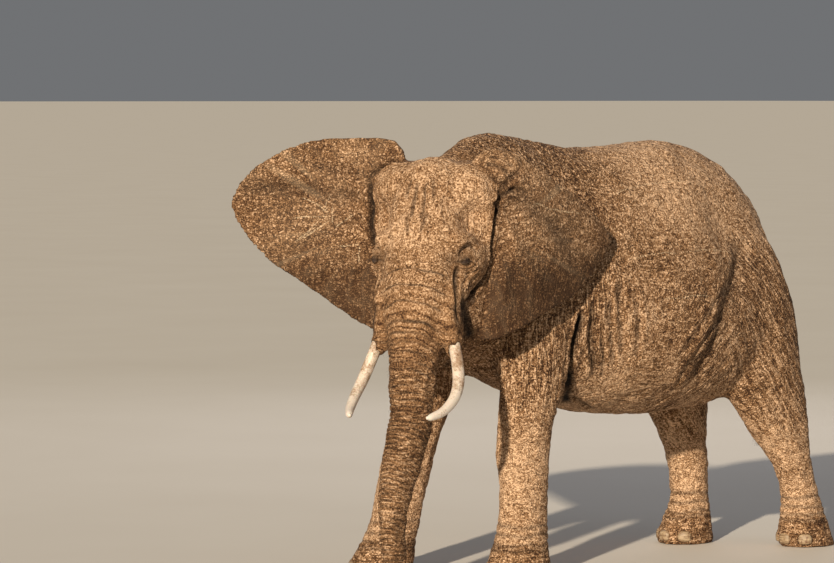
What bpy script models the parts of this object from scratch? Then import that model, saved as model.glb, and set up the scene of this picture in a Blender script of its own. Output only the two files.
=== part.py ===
"""An African bush elephant cow, life size, standing in mid-stride with her head turned to her left.

She faces -Y, her left side is +X and +Z is up.  All sizes are in metres.
The flesh is fused from lofted masses, then parted by thin cuts into the parts a person would name.
While she is built, the point between her forefeet is the origin; the last step centres her on her box.
"""

import math

import bmesh
import bpy
from mathutils import Matrix, Vector

# Driving dimensions
SHOULDER_HEIGHT = 2.50
FOREFOOT_GIRTH = SHOULDER_HEIGHT / 2  # an elephant stands twice the girth of its forefoot
FOOT_RADIUS = FOREFOOT_GIRTH / (2 * math.pi)
EYE_HEIGHT = 0.72 * SHOULDER_HEIGHT
EYE_RADIUS = 0.024
HEAD_AHEAD = 0.85  # of the shoulder line, measured to the point between the eyes
HEAD_ASIDE = 0.40
HEAD_TURN = math.radians(28)  # to her left
EAR_THICKNESS = 0.036
NAIL_SIZE = (0.043, 0.022, 0.036)  # half its breadth, depth and height

GAP = 0.0003  # between parts that touch
FUSE_SIZE = 0.016  # of the grid that fuses the masses
FLESH_TRIANGLES = 2540
ROUND = 40  # sides of a mass

X, Y, Z = Vector((1, 0, 0)), Vector((0, 1, 0)), Vector((0, 0, 1))

# The head's own frame: forward, her left and up from the point between the eyes
FORWARD = Vector((math.sin(HEAD_TURN), -math.cos(HEAD_TURN), 0))
LEFTWARD = Vector((math.cos(HEAD_TURN), math.sin(HEAD_TURN), 0))
BROW = Vector((HEAD_ASIDE, -HEAD_AHEAD, EYE_HEIGHT))


def on_head(forward, left, up):
    """The place of a point given in the head's frame."""
    return BROW + FORWARD * forward + LEFTWARD * left + Z * up


# ---------------------------------------------------------------- general tools


def clear_scene():
    for obj in list(bpy.data.objects):
        bpy.data.objects.remove(obj)


def new_object(name, mesh):
    obj = bpy.data.objects.new(name, mesh)
    bpy.context.scene.collection.objects.link(obj)
    return obj


def object_from(name, points, faces):
    mesh = bpy.data.meshes.new(name)
    mesh.from_pydata([tuple(p) for p in points], [], faces)
    bm = bmesh.new()
    bm.from_mesh(mesh)
    bmesh.ops.recalc_face_normals(bm, faces=bm.faces)
    bmesh.ops.triangulate(bm, faces=bm.faces)
    bm.to_mesh(mesh)
    bm.free()
    return new_object(name, mesh)


def bake_modifiers(obj):
    graph = bpy.context.evaluated_depsgraph_get()
    obj.data = bpy.data.meshes.new_from_object(obj.evaluated_get(graph), depsgraph=graph)
    obj.modifiers.clear()


def combine(obj, cutter, operation):
    """Applies one Boolean of the object with the cutter."""
    modifier = obj.modifiers.new(operation.title(), "BOOLEAN")
    modifier.operation = operation
    modifier.object = cutter
    bake_modifiers(obj)


def discard(*objects):
    for obj in objects:
        bpy.data.objects.remove(obj)


def grown(obj):
    """A copy of the object, larger all round by the gap."""
    copy = new_object(obj.name + "_grown", obj.data.copy())
    normals = [v.normal.copy() for v in obj.data.vertices]
    for vertex, normal in zip(copy.data.vertices, normals):
        vertex.co += normal * GAP
    return copy


def spline(keys, per_span):
    """Rows between the key rows on a smooth curve through them, number by number."""
    rows = []
    last = len(keys) - 1
    for i in range(last):
        before, start, end, after = keys[max(i - 1, 0)], keys[i], keys[i + 1], keys[min(i + 2, last)]
        for k in range(per_span):
            t = k / per_span
            rows.append([
                0.5 * (2 * b + (c - a) * t + (2 * a - 5 * b + 4 * c - d) * t**2
                       + (3 * b - a - 3 * c + d) * t**3)
                for a, b, c, d in zip(before, start, end, after)
            ])
    return rows + [list(keys[last])]


def section(centre, across, upward, half_width, rise, drop, taper, sides=ROUND):
    """A closed egg-shaped ring.  Taper narrows the side towards upward and fills out the other."""
    ring = []
    for k in range(sides):
        angle = 2 * math.pi * k / sides
        up, out = math.cos(angle), math.sin(angle)
        ring.append(centre + upward * (up * (rise if up > 0 else drop))
                    + across * (out * half_width * (1 - taper * up)))
    return ring


def skin_rings(name, rings):
    """A closed solid over a row of rings of equal size."""
    count = len(rings[0])
    points = [p for ring in rings for p in ring]
    faces = []
    for r in range(len(rings) - 1):
        for k in range(count):
            after = (k + 1) % count
            faces.append((r * count + k, r * count + after, (r + 1) * count + after, (r + 1) * count + k))
    faces.append(tuple(range(count)))
    faces.append(tuple(range((len(rings) - 1) * count, len(rings) * count)))
    return object_from(name, points, faces)


def loft(name, keys, across, upward, per_span=8):
    """A solid through keys of (x, y, z, half width, rise, drop, taper), rings lying in across and upward."""
    return skin_rings(name, [
        section(Vector(row[:3]), across, upward, *row[3:]) for row in spline(keys, per_span)
    ])


def follow(name, keys, side, per_span=8, sides=ROUND):
    """A solid through keys of (x, y, z, half width, half depth), its rings square to the path."""
    rows = spline(keys, per_span)
    rings = []
    for i, row in enumerate(rows):
        ahead, behind = rows[min(i + 1, len(rows) - 1)], rows[max(i - 1, 0)]
        along = (Vector(ahead[:3]) - Vector(behind[:3])).normalized()
        upward = along.cross(side).normalized()
        across = upward.cross(along)
        rings.append(section(Vector(row[:3]), across, upward, row[3], row[4], row[4], 0, sides))
    return skin_rings(name, rings)


def ball(name, centre, radii, across=X, upward=Z, sides=24):
    """An ellipsoid with its radii along across, onward and upward."""
    mesh = bpy.data.meshes.new(name)
    bm = bmesh.new()
    bmesh.ops.create_uvsphere(bm, u_segments=sides, v_segments=sides * 2 // 3, radius=1)
    onward = upward.cross(across)
    place = Matrix((across * radii[0], onward * radii[1], upward * radii[2])).transposed().to_4x4()
    place.translation = centre
    bmesh.ops.transform(bm, matrix=place, verts=bm.verts)
    bmesh.ops.triangulate(bm, faces=bm.faces)
    bm.to_mesh(mesh)
    bm.free()
    return new_object(name, mesh)


def block(low, high, place=None):
    """A box between two corners, moved by a matrix."""
    mesh = bpy.data.meshes.new("block")
    bm = bmesh.new()
    bmesh.ops.create_cube(bm, size=1)
    low, high = Vector(low), Vector(high)
    for vertex in bm.verts:
        for axis in range(3):
            vertex.co[axis] = (low[axis] + high[axis]) / 2 + vertex.co[axis] * (high[axis] - low[axis])
    if place:
        bmesh.ops.transform(bm, matrix=place, verts=bm.verts)
    bm.to_mesh(mesh)
    bm.free()
    return new_object("block", mesh)


# ---------------------------------------------------------------- masses of flesh


def torso():
    """Trunk of the body, from the brisket to the buttocks: y, back line, belly line, half width, taper."""
    stations = (
        (-0.36, 2.05, 1.50, 0.16, 0.05),
        (-0.24, 2.28, 1.20, 0.32, 0.14),
        (0.00, 2.46, 1.06, 0.43, 0.22),
        (0.28, 2.44, 0.96, 0.51, 0.24),
        (0.60, 2.39, 0.88, 0.58, 0.22),
        (0.95, 2.41, 0.84, 0.615, 0.20),
        (1.25, 2.43, 0.835, 0.595, 0.22),
        (1.52, 2.38, 0.85, 0.54, 0.22),
        (1.75, 2.27, 0.95, 0.48, 0.20),
        (1.93, 2.11, 1.16, 0.36, 0.16),
        (2.04, 1.93, 1.34, 0.22, 0.10),
        (2.075, 1.80, 1.46, 0.12, 0.05),
    )
    keys = []
    for y, back, belly, half_width, taper in stations:
        middle = belly + 0.46 * (back - belly)
        keys.append((0, y, middle, half_width, back - middle, middle - belly, taper))
    return loft("torso_mass", keys, X, Z)


def neck():
    """From inside the shoulders to inside the skull: x, y, top line, throat line, half width."""
    stations = (
        (0.00, 0.16, 2.44, 1.30, 0.38),
        (0.05, -0.04, 2.485, 1.18, 0.38),
        (0.11, -0.22, 2.465, 1.20, 0.34),
        (0.18, -0.40, 2.40, 1.27, 0.29),
        (0.235, -0.54, 2.345, 1.36, 0.25),
    )
    keys = []
    for x, y, top, throat, half_width in stations:
        middle = throat + 0.5 * (top - throat)
        keys.append((x, y, middle, half_width, top - middle, middle - throat, 0.12))
    heading = Vector((0.235, -0.70, 0)).normalized()
    return loft("neck_mass", keys, Z.cross(heading), Z)


# Levels of a leg, from the top: x, y, z, half width, depth behind and depth ahead
FORELEG = (
    (0.27, 0.14, 2.02, 0.08, 0.10, 0.10),
    (0.29, 0.12, 1.80, 0.15, 0.22, 0.20),
    (0.31, 0.08, 1.52, 0.185, 0.27, 0.27),
    (0.315, 0.06, 1.28, 0.18, 0.25, 0.26),
    (0.31, 0.04, 1.06, 0.16, 0.20, 0.21),
    (0.30, 0.01, 0.84, 0.150, 0.165, 0.175),
    (0.295, 0.00, 0.66, 0.148, 0.153, 0.165),
    (0.29, 0.00, 0.46, 0.138, 0.144, 0.152),
    (0.285, 0.00, 0.30, 0.142, 0.149, 0.155),
    (0.285, -0.01, 0.16, 0.166, 0.160, 0.172),
    (0.285, -0.02, 0.06, FOOT_RADIUS - 0.010, FOOT_RADIUS - 0.022, FOOT_RADIUS - 0.006),
    (0.285, -0.02, -0.03, FOOT_RADIUS - 0.008, FOOT_RADIUS - 0.018, FOOT_RADIUS - 0.004),
)
HINDLEG = (
    (0.20, 1.66, 2.02, 0.10, 0.14, 0.16),
    (0.26, 1.68, 1.80, 0.18, 0.26, 0.28),
    (0.29, 1.72, 1.50, 0.215, 0.32, 0.36),
    (0.30, 1.75, 1.22, 0.195, 0.285, 0.37),
    (0.30, 1.76, 0.98, 0.172, 0.25, 0.32),
    (0.295, 1.79, 0.78, 0.148, 0.195, 0.22),
    (0.29, 1.83, 0.60, 0.126, 0.145, 0.155),
    (0.285, 1.86, 0.42, 0.112, 0.124, 0.122),
    (0.28, 1.87, 0.28, 0.118, 0.130, 0.130),
    (0.28, 1.86, 0.15, 0.140, 0.152, 0.168),
    (0.28, 1.85, 0.05, 0.156, 0.170, 0.196),
    (0.28, 1.85, -0.03, 0.158, 0.172, 0.200),
)
# How each leg stands: its side, how far back its foot has swung, the height it swings from,
# how late it bends and how much its thigh is drawn out
STANCES = {
    "foreleg_left": (FORELEG, 1, -0.01, 1.70, 1.0, 0.0),
    "foreleg_right": (FORELEG, -1, -0.55, 1.75, 1.0, 0.0),
    "hindleg_left": (HINDLEG, 1, 0.44, 1.60, 1.15, 0.20),
    "hindleg_right": (HINDLEG, -1, -0.03, 1.60, 1.0, 0.0),
}


def leg_levels(stance):
    """The levels of one leg as it stands."""
    levels, side, distance, pivot, rate, drawn = stance
    stood = []
    for x, y, z, half_width, behind, ahead in levels:
        swing = distance * max(0.0, 1 - z / pivot) ** rate
        fuller = 1 + drawn * math.exp(-((z - 0.75) / 0.22) ** 2)
        stood.append((side * x, y + swing, z, half_width, behind * fuller, ahead * fuller, 0))
    return stood


# The face and trunk in the head's frame: forward, left, up, half width, half depth
TRUNK = (
    (-0.26, 0, 0.50, 0.12, 0.09),
    (-0.18, 0, 0.40, 0.19, 0.15),
    (-0.13, 0, 0.20, 0.225, 0.19),
    (-0.075, 0, 0.02, 0.222, 0.20),
    (-0.03, 0, -0.14, 0.208, 0.198),
    (0.015, 0, -0.28, 0.184, 0.183),
    (0.055, -0.004, -0.42, 0.152, 0.155),
    (0.083, -0.008, -0.56, 0.130, 0.132),
    (0.092, -0.008, -0.70, 0.124, 0.126),
    (0.112, -0.010, -0.86, 0.117, 0.119),
    (0.140, -0.030, -0.99, 0.112, 0.114),
    (0.186, -0.046, -1.14, 0.105, 0.106),
    (0.22, -0.060, -1.27, 0.095, 0.095),
    (0.238, -0.062, -1.40, 0.083, 0.084),
    (0.232, -0.062, -1.52, 0.073, 0.073),
    (0.195, -0.062, -1.61, 0.066, 0.062),
)
# Half the jaw, from the throat to the lower lip
JAW = (
    (-0.43, 0, -0.20, 0.20, 0.17),
    (-0.37, 0, -0.34, 0.165, 0.145),
    (-0.30, 0, -0.46, 0.115, 0.092),
    (-0.255, 0, -0.545, 0.072, 0.056),
    (-0.225, 0, -0.605, 0.040, 0.030),
)
TUSK_SHEATH = (
    (-0.05, 0.15, -0.06, 0.095, 0.10),
    (-0.01, 0.180, -0.24, 0.090, 0.095),
    (0.028, 0.200, -0.37, 0.072, 0.075),
    (0.048, 0.214, -0.455, 0.052, 0.054),
    (0.066, 0.229, -0.515, 0.041, 0.042),
)


def head_path(rows, side=1):
    """Keys for follow from rows in the head's frame, mirrored to one side."""
    return [(*on_head(row[0], side * row[1], row[2]), row[3], row[4]) for row in rows]


def head():
    """Skull, brow, cheeks, jaw, trunk and tusk sheaths."""
    made = [
        follow("trunk_mass", head_path(TRUNK), LEFTWARD),
        follow("jaw_mass", head_path(JAW), LEFTWARD),
        ball("cranium", on_head(-0.27, 0, 0.19), (0.300, 0.29, 0.35), LEFTWARD),
        ball("throat", on_head(-0.40, 0, -0.18), (0.20, 0.22, 0.29), LEFTWARD),
    ]
    for side in (1, -1):
        made += [
            ball("crown", on_head(-0.27, side * 0.185, 0.35), (0.185, 0.20, 0.185), LEFTWARD),
            ball("ear_root", on_head(-0.26, side * 0.26, 0.18), (0.095, 0.12, 0.24), LEFTWARD),
            ball("cheekbone", on_head(-0.17, side * 0.235, 0.02), (0.095, 0.20, 0.14), LEFTWARD),
            ball("brow", on_head(-0.045, side * 0.225, 0.085), (0.062, 0.085, 0.085), LEFTWARD),
            ball("cheek", on_head(-0.26, side * 0.17, -0.20), (0.125, 0.19, 0.27), LEFTWARD),
            follow("tusk_sheath", head_path(TUSK_SHEATH, side), LEFTWARD),
        ]
    return made


def soft_forms():
    """Shallow forms pressed into the flesh, or raised where the depth is negative: place, radius, depth."""
    forms = [(on_head(0.06, 0, 0.30), 0.15, 0.012)]  # forehead
    for side in (1, -1):
        forms += [
            (on_head(-0.10, side * 0.29, 0.24), 0.13, 0.028),  # temple
            (on_head(0.01, side * 0.29, 0.0), 0.050, 0.014),  # eye socket
            (Vector((side * 0.50, 1.42, 1.95)), 0.26, 0.035),  # flank before the hip
            (Vector((side * 0.33, 1.62, 2.14)), 0.15, -0.024),  # hip bone
            (Vector((side * 0.28, 0.10, 2.22)), 0.16, -0.020),  # shoulder blade
            (Vector((side * 0.32, -0.12, 1.95)), 0.17, 0.028),  # before the shoulder
            (Vector((side * 0.50, 0.42, 1.35)), 0.22, 0.028),  # behind the elbow
        ]
    return forms


def press_forms(obj):
    """Moves the surface in or out over each soft form."""
    normals = [v.normal.copy() for v in obj.data.vertices]
    for centre, radius, depth in soft_forms():
        for vertex, normal in zip(obj.data.vertices, normals):
            share = (vertex.co - centre).length / radius
            if share < 1.6:
                vertex.co -= normal * depth * math.exp(-2 * share**2)


def fused_flesh():
    """The masses fused into one smooth body, cut flat at the floor."""
    masses = [torso(), neck(), *head()]
    masses += [loft(name + "_mass", leg_levels(stance), X, Y) for name, stance in STANCES.items()]
    bm = bmesh.new()
    for mass in masses:
        bm.from_mesh(mass.data)
    mesh = bpy.data.meshes.new("flesh")
    bm.to_mesh(mesh)
    bm.free()
    discard(*masses)
    flesh = new_object("flesh", mesh)
    remesh = flesh.modifiers.new("Fuse", "REMESH")
    remesh.mode = "VOXEL"
    remesh.voxel_size = FUSE_SIZE
    smooth = flesh.modifiers.new("Soften", "SMOOTH")
    smooth.factor = 0.5
    smooth.iterations = 20
    bake_modifiers(flesh)
    press_forms(flesh)
    decimate = flesh.modifiers.new("Thin out", "DECIMATE")
    decimate.ratio = FLESH_TRIANGLES / (2 * len(flesh.data.polygons))
    bake_modifiers(flesh)
    floor = block((-3, -3, -1), (3, 4, 0))
    combine(flesh, floor, "DIFFERENCE")
    discard(floor)
    return flesh


# ---------------------------------------------------------------- parts set into the flesh


# Levels of the ears about the eyes, from the top: height, inner edge and outer edge,
# both measured outwards from the ear's base on the side of the skull
EAR_BASE = (-0.25, 0.33)  # forward and outward on the head
SPREAD_EAR = (
    (0.655, 0.04, 0.30),
    (0.640, -0.07, 0.42),
    (0.590, -0.12, 0.57),
    (0.500, -0.16, 0.72),
    (0.400, -0.14, 0.825),
    (0.295, -0.12, 0.880),
    (0.190, -0.10, 0.845),
    (0.080, -0.10, 0.765),
    (-0.040, -0.10, 0.635),
    (-0.150, -0.09, 0.455),
    (-0.250, -0.05, 0.325),
    (-0.340, -0.02, 0.195),
    (-0.400, 0.0, 0.07),
)
SWEPT_EAR = (
    (0.590, -0.01, 0.10),
    (0.560, -0.10, 0.17),
    (0.480, -0.15, 0.28),
    (0.380, -0.14, 0.41),
    (0.270, -0.12, 0.55),
    (0.170, -0.11, 0.69),
    (0.090, -0.10, 0.765),
    (0.000, -0.10, 0.72),
    (-0.110, -0.10, 0.60),
    (-0.220, -0.09, 0.50),
    (-0.300, -0.09, 0.33),
    (-0.380, -0.10, 0.18),
    (-0.435, -0.08, 0.04),
)
# Where the swept ear lies, seen from above: x and y at every EAR_STEP outwards from its base
EAR_STEP = 0.15
SWEEP = ((0.574, -0.474), (0.646, -0.338), (0.646, -0.149), (0.617, 0.055), (0.586, 0.235),
         (0.543, 0.394), (0.493, 0.549))


def spread_place(outward, up):
    """The right ear stands out square to the head, its tip a little forward."""
    forward = EAR_BASE[0] + 0.13 * max(0.0, outward) ** 2 + 0.03 * math.sin(7 * up + 4 * outward)
    return on_head(forward, -EAR_BASE[1] - outward, up)


def swept_place(outward, up):
    """The left ear lies back along the shoulder."""
    inside = min(outward, 0.0)
    share = max(outward, 0.0) / EAR_STEP
    rows = spline(SWEEP, 8)
    at = min(share * 8, len(rows) - 1.001)
    low, high = rows[int(at)], rows[int(at) + 1]
    x, y = (a + (b - a) * (at - int(at)) for a, b in zip(low, high))
    lean = 0.02 * math.sin(6 * up + 0.6) * min(share, 1.5)
    return Vector((x + lean, y, BROW.z + up)) + LEFTWARD * inside


def ear(name, levels, place):
    """A tapering leaf through its levels, each level a thin loop from its inner to its outer edge."""
    across = 5
    rings = []
    for up, inner, outer in levels:
        front, back = [], []
        for k in range(across + 1):
            share = k / across
            outward = inner + (outer - inner) * (1 - (1 - share) ** 1.3)
            here = place(outward, up)
            along = (place(outward + 0.01, up) - place(outward - 0.01, up)).normalized()
            thickness = EAR_THICKNESS * (1 - 0.55 * share) * (0.35 if k == across else 1)
            normal = along.cross(Z)
            front.append(here + normal * thickness / 2)
            back.append(here - normal * thickness / 2)
        rings.append(front + back[::-1])
    return skin_rings(name, rings)


def tusks():
    path = (
        (0.020, 0.195, -0.33, 0.033, 0.033),
        (0.050, 0.216, -0.43, 0.033, 0.033),
        (0.085, 0.250, -0.54, 0.0325, 0.0325),
        (0.135, 0.276, -0.64, 0.032, 0.032),
        (0.220, 0.285, -0.72, 0.029, 0.029),
        (0.330, 0.268, -0.780, 0.025, 0.025),
        (0.420, 0.235, -0.805, 0.019, 0.019),
        (0.447, 0.222, -0.808, 0.009, 0.009),
    )
    return [
        follow("tusk_" + side_name, head_path(path, side), LEFTWARD, per_span=2, sides=8)
        for side_name, side in (("left", 1), ("right", -1))
    ]


def eyes():
    return [
        ball("eye_" + side_name, on_head(-0.006, side * 0.256, 0.0), (EYE_RADIUS,) * 3, LEFTWARD, sides=10)
        for side_name, side in (("left", 1), ("right", -1))
    ]


def nails():
    """Horn nails round the front of each foot."""
    made = []
    for leg, stance in STANCES.items():
        x, y, _, half_width, _, ahead, _ = leg_levels(stance)[-2]
        turns = (-62, -22, 22, 62) if leg.startswith("fore") else (-48, 0, 48)
        for number, turn in enumerate(turns, 1):
            angle = math.radians(turn)
            outward = Vector((math.sin(angle), -math.cos(angle), 0))
            rim = Vector((x + half_width * math.sin(angle), y - ahead * math.cos(angle), 0.048))
            across = Z.cross(outward)
            name = f"nail_{leg}_{number}"
            made.append(ball(name, rim - outward * 0.014, NAIL_SIZE, across, sides=6))
    return made


def tail():
    """The tail and the tuft of hair at its end."""
    path = (
        (0, 1.94, 1.94, 0.048, 0.048),
        (0, 2.055, 1.885, 0.046, 0.050),
        (0, 2.130, 1.78, 0.040, 0.044),
        (0, 2.160, 1.60, 0.033, 0.034),
        (0, 2.170, 1.35, 0.027, 0.027),
        (0, 2.175, 1.10, 0.022, 0.022),
        (0, 2.180, 0.88, 0.018, 0.018),
    )
    tuft = (
        (0, 2.180, 0.88 - GAP, 0.017, 0.017),
        (0, 2.181, 0.80, 0.040, 0.026),
        (0, 2.183, 0.70, 0.044, 0.022),
        (0, 2.186, 0.58, 0.016, 0.010),
    )
    return follow("tail", path, X, 2, 8), follow("tail_tuft", tuft, X, 2, 8)


# ---------------------------------------------------------------- parting the flesh


def carve(flesh, name, low, high, place=None):
    """Takes the flesh inside a box out as its own object, leaving a thin gap behind."""
    piece = new_object(name, flesh.data.copy())
    region = block(low, high, place)
    combine(piece, region, "INTERSECT")
    margin = Vector((GAP, GAP, GAP))
    wider = block(Vector(low) - margin, Vector(high) + margin, place)
    combine(flesh, wider, "DIFFERENCE")
    discard(region, wider)
    return piece


# The parts of a leg from the foot up, and the height each ends at
LEG_CUTS = {
    "foreleg": (("forefoot", 0.20), ("lower_foreleg", 0.62), ("upper_foreleg", 0.94)),
    "hindleg": (("hind_foot", 0.18), ("lower_hindleg", 0.62), ("thigh", 1.04)),
}


def part_flesh(flesh):
    """Cuts the flesh into its named parts: boxes of (x, y, z), the head's as (left, back, up) about the brow."""
    at_head = Matrix((LEFTWARD, -FORWARD, Z)).transposed().to_4x4()
    at_head.translation = BROW
    parts = [
        carve(flesh, "trunk_tip", (-0.4, -1, -1.9), (0.4, 0.16, -1.30), at_head),
        carve(flesh, "trunk_lower", (-0.4, -1, -1.31), (0.4, 0.16, -0.88), at_head),
        carve(flesh, "trunk_upper", (-0.4, -1, -0.89), (0.4, 0.16, -0.56), at_head),
        carve(flesh, "lower_jaw", (-0.15, 0.16, -0.8), (0.15, 0.36, -0.42), at_head),
        carve(flesh, "head", (-0.6, -1, -0.75), (0.6, 0.50, 1), at_head),
        carve(flesh, "neck", (-0.6, -1.5, 1.30), (0.9, -0.26, 2.6)),
    ]
    for leg, stance in STANCES.items():
        near, far = (0.08, 1.0) if stance[1] > 0 else (-1.0, -0.08)
        floor = -0.1
        for name, top in LEG_CUTS[leg.split("_")[0]]:
            levels = [row for row in leg_levels(stance) if floor - 0.12 < row[2] < top + 0.12]
            front = min(y - ahead for _, y, _, _, _, ahead, _ in levels) - 0.03
            back = max(y + behind for _, y, _, _, behind, _, _ in levels) + 0.03
            parts.append(carve(flesh, f"{name}_{leg.split('_')[1]}", (near, front, -0.1), (far, back, top)))
            floor = top
    parts += [
        carve(flesh, "chest", (-1, -1, 0), (1, 0.50, 3)),
        carve(flesh, "rump", (-1, 1.38, 0), (1, 3, 3)),
    ]
    flesh.name = "barrel"
    return parts + [flesh]


# ---------------------------------------------------------------- finish

# Colour and roughness of each substance, and the parts it covers besides skin
SUBSTANCES = {
    "skin": ((0.17, 0.115, 0.08), 0.85),
    "ivory": ((0.66, 0.57, 0.43), 0.4),
    "horn": ((0.30, 0.24, 0.18), 0.6),
    "eye": ((0.03, 0.015, 0.01), 0.1),
    "hair": ((0.02, 0.016, 0.013), 0.7),
}
SUBSTANCE_OF = (("tusk", "ivory"), ("nail", "horn"), ("eye", "eye"), ("tail_tuft", "hair"), ("", "skin"))


def finish(obj):
    """Gives a part its material and soft shading with sharp cut edges."""
    substance = next(kind for start, kind in SUBSTANCE_OF if obj.name.startswith(start))
    colour, roughness = SUBSTANCES[substance]
    material = bpy.data.materials.new(f"{obj.name}_{substance}")
    material.use_nodes = True
    shader = material.node_tree.nodes["Principled BSDF"]
    shader.inputs["Base Color"].default_value = (*colour, 1)
    shader.inputs["Roughness"].default_value = roughness
    obj.data.materials.clear()
    obj.data.materials.append(material)
    obj.data.shade_smooth()
    obj.data.set_sharp_from_angle(angle=math.radians(50))


def centre_on_floor(objects):
    """Moves everything so that the middle of the whole box stands over the origin."""
    points = [v.co for obj in objects for v in obj.data.vertices]
    low = [min(p[axis] for p in points) for axis in range(3)]
    high = [max(p[axis] for p in points) for axis in range(3)]
    shift = Vector((-(low[0] + high[0]) / 2, -(low[1] + high[1]) / 2, -low[2]))
    for obj in objects:
        obj.data.transform(Matrix.Translation(shift))
    print("centred by", tuple(round(value, 5) for value in shift))


def main():
    clear_scene()
    flesh = fused_flesh()
    fitted = [
        ear("ear_left", SWEPT_EAR, swept_place),
        ear("ear_right", SPREAD_EAR, spread_place),
        *tusks(), *eyes(), *nails(), *tail(),
    ]
    for part in fitted:
        socket = grown(part)
        combine(flesh, socket, "DIFFERENCE")
        discard(socket)
    parts = part_flesh(flesh) + fitted
    for part in parts:
        finish(part)
    centre_on_floor(parts)


main()
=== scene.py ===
from math import cos, pi, radians, sin, sqrt

import bpy
import numpy as np
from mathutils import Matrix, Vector
from mathutils.bvhtree import BVHTree
from mathutils.kdtree import KDTree


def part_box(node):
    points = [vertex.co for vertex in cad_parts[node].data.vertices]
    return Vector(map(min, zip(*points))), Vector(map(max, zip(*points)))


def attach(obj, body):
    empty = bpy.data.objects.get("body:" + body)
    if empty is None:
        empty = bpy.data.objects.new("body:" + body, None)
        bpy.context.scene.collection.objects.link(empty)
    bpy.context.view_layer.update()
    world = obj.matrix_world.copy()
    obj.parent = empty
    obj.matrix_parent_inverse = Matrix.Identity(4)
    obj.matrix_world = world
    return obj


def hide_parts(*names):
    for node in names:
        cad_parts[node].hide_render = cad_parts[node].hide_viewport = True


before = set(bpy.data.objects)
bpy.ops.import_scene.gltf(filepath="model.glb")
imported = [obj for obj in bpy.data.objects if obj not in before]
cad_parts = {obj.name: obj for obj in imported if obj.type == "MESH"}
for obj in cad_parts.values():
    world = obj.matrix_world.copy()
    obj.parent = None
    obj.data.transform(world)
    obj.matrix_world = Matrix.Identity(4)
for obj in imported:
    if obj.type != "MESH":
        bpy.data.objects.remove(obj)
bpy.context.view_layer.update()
scene = bpy.context.scene


def linear(hexColour):
    # sRGB hex to linear values, as the colour sockets hold them
    parts = [int(hexColour[i:i + 2], 16) / 255 for i in (1, 3, 5)]
    return [p / 12.92 if p <= 0.04045 else ((p + 0.055) / 1.055) ** 2.4 for p in parts] + [1.0]


def place(tree, kind, inputs=None, out=0, **settings):
    # adds one node, sets or links its inputs, and hands back the output that is wanted
    made = tree.nodes.new("ShaderNode" + kind)
    for name, value in settings.items():
        setattr(made, name, value)
    for key, value in (inputs or {}).items():
        if isinstance(value, bpy.types.NodeSocket):
            tree.links.new(value, made.inputs[key])
        else:
            made.inputs[key].default_value = value
    return made.outputs[out]


def newMaterial(name, values):
    # an empty material with its Principled shader, whose fixed values are set on the sockets
    material = bpy.data.materials.new(name)
    material.use_nodes = True
    shader = material.node_tree.nodes["Principled BSDF"]
    for key, value in values.items():
        shader.inputs[key].default_value = value
    return material, material.node_tree, shader


def writeField(mesh, name, values):
    # stores a number or a triple for every point, for the material to read
    values = np.ascontiguousarray(values, np.float32)
    kind, key = ("FLOAT", "value") if values.ndim == 1 else ("FLOAT_VECTOR", "vector")
    field = mesh.attributes.new(name, kind, "POINT")
    field.data.foreach_set(key, values.ravel())


def addPiece(name, mesh, material, slotName, *gone):
    # a smooth piece that belongs to the body and stands for the nodes that are gone
    mesh.shade_smooth()
    mesh.materials.append(material)
    piece = bpy.data.objects.new(name, mesh)
    scene.collection.objects.link(piece)
    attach(piece, "root")
    if gone:
        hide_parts(*gone)
    return piece


def newMesh(name, points, faces):
    mesh = bpy.data.meshes.new(name)
    mesh.from_pydata(np.asarray(points).tolist(), [], faces)
    return mesh


def ringQuads(rings, sides):
    # the quads between rings of points that follow one another
    return [(i * sides + j, (i + 1) * sides + j, (i + 1) * sides + (j + 1) % sides,
             i * sides + (j + 1) % sides) for i in range(rings - 1) for j in range(sides)]


def middle(name):
    low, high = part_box(name)
    return (np.array(low) + np.array(high)) / 2


def unit(v):
    v = np.asarray(v, float)
    return v / np.maximum(np.linalg.norm(v, axis=-1, keepdims=True), 1e-9)


# the head's own axes come from its two eyes: forward, leftward and up, from a point between them
eyeLeft, eyeRight = middle("eye_left"), middle("eye_right")
leftward = unit((eyeLeft - eyeRight) * (1, 1, 0))
forward = np.array((leftward[1], -leftward[0], 0.0))
brow = (eyeLeft + eyeRight) / 2 + forward * 0.006
bodyMiddle = middle("barrel")[0]


def fromHead(f, l, up):
    return brow + forward * f + leftward * l + np.array((0.0, 0.0, up))


def toHead(points):
    away = points - brow
    return away @ forward, away @ leftward, away[:, 2]


def cellNumber(x, y, z, seed):
    # one steady number from 0 to 1 for each cell of a grid; the large primes only mix the bits
    mixed = (x * 73856093) ^ (y * 19349663) ^ (z * 83492791) ^ (seed * 40503077)
    mixed &= 0xFFFFFFFF
    mixed = ((mixed ^ (mixed >> 13)) * 1274126177) & 0xFFFFFFFF
    mixed ^= mixed >> 16
    return mixed / 4294967296.0


def cloud(points, sizes, seed):
    # smooth noise from 0 to 1, whose lumps have the given size in metres along x, y and z
    grid = points / np.asarray(sizes, float) + 100.5
    whole = np.floor(grid).astype(np.int64)
    part = grid - whole
    part = part * part * (3 - 2 * part)
    total = np.zeros(len(points))
    for corner in range(8):
        step = [(corner >> k) & 1 for k in range(3)]
        share = np.ones(len(points))
        for k in range(3):
            share = share * (part[:, k] if step[k] else 1 - part[:, k])
        total += share * cellNumber(*(whole[:, k] + step[k] for k in range(3)), seed)
    return total


def clouds(points, sizes, seed, octaves=3):
    sizes = np.asarray(sizes, float)
    total = sum(cloud(points, sizes / 2 ** k, seed + k) / 2 ** k for k in range(octaves))
    return total / sum(1 / 2 ** k for k in range(octaves))


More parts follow.
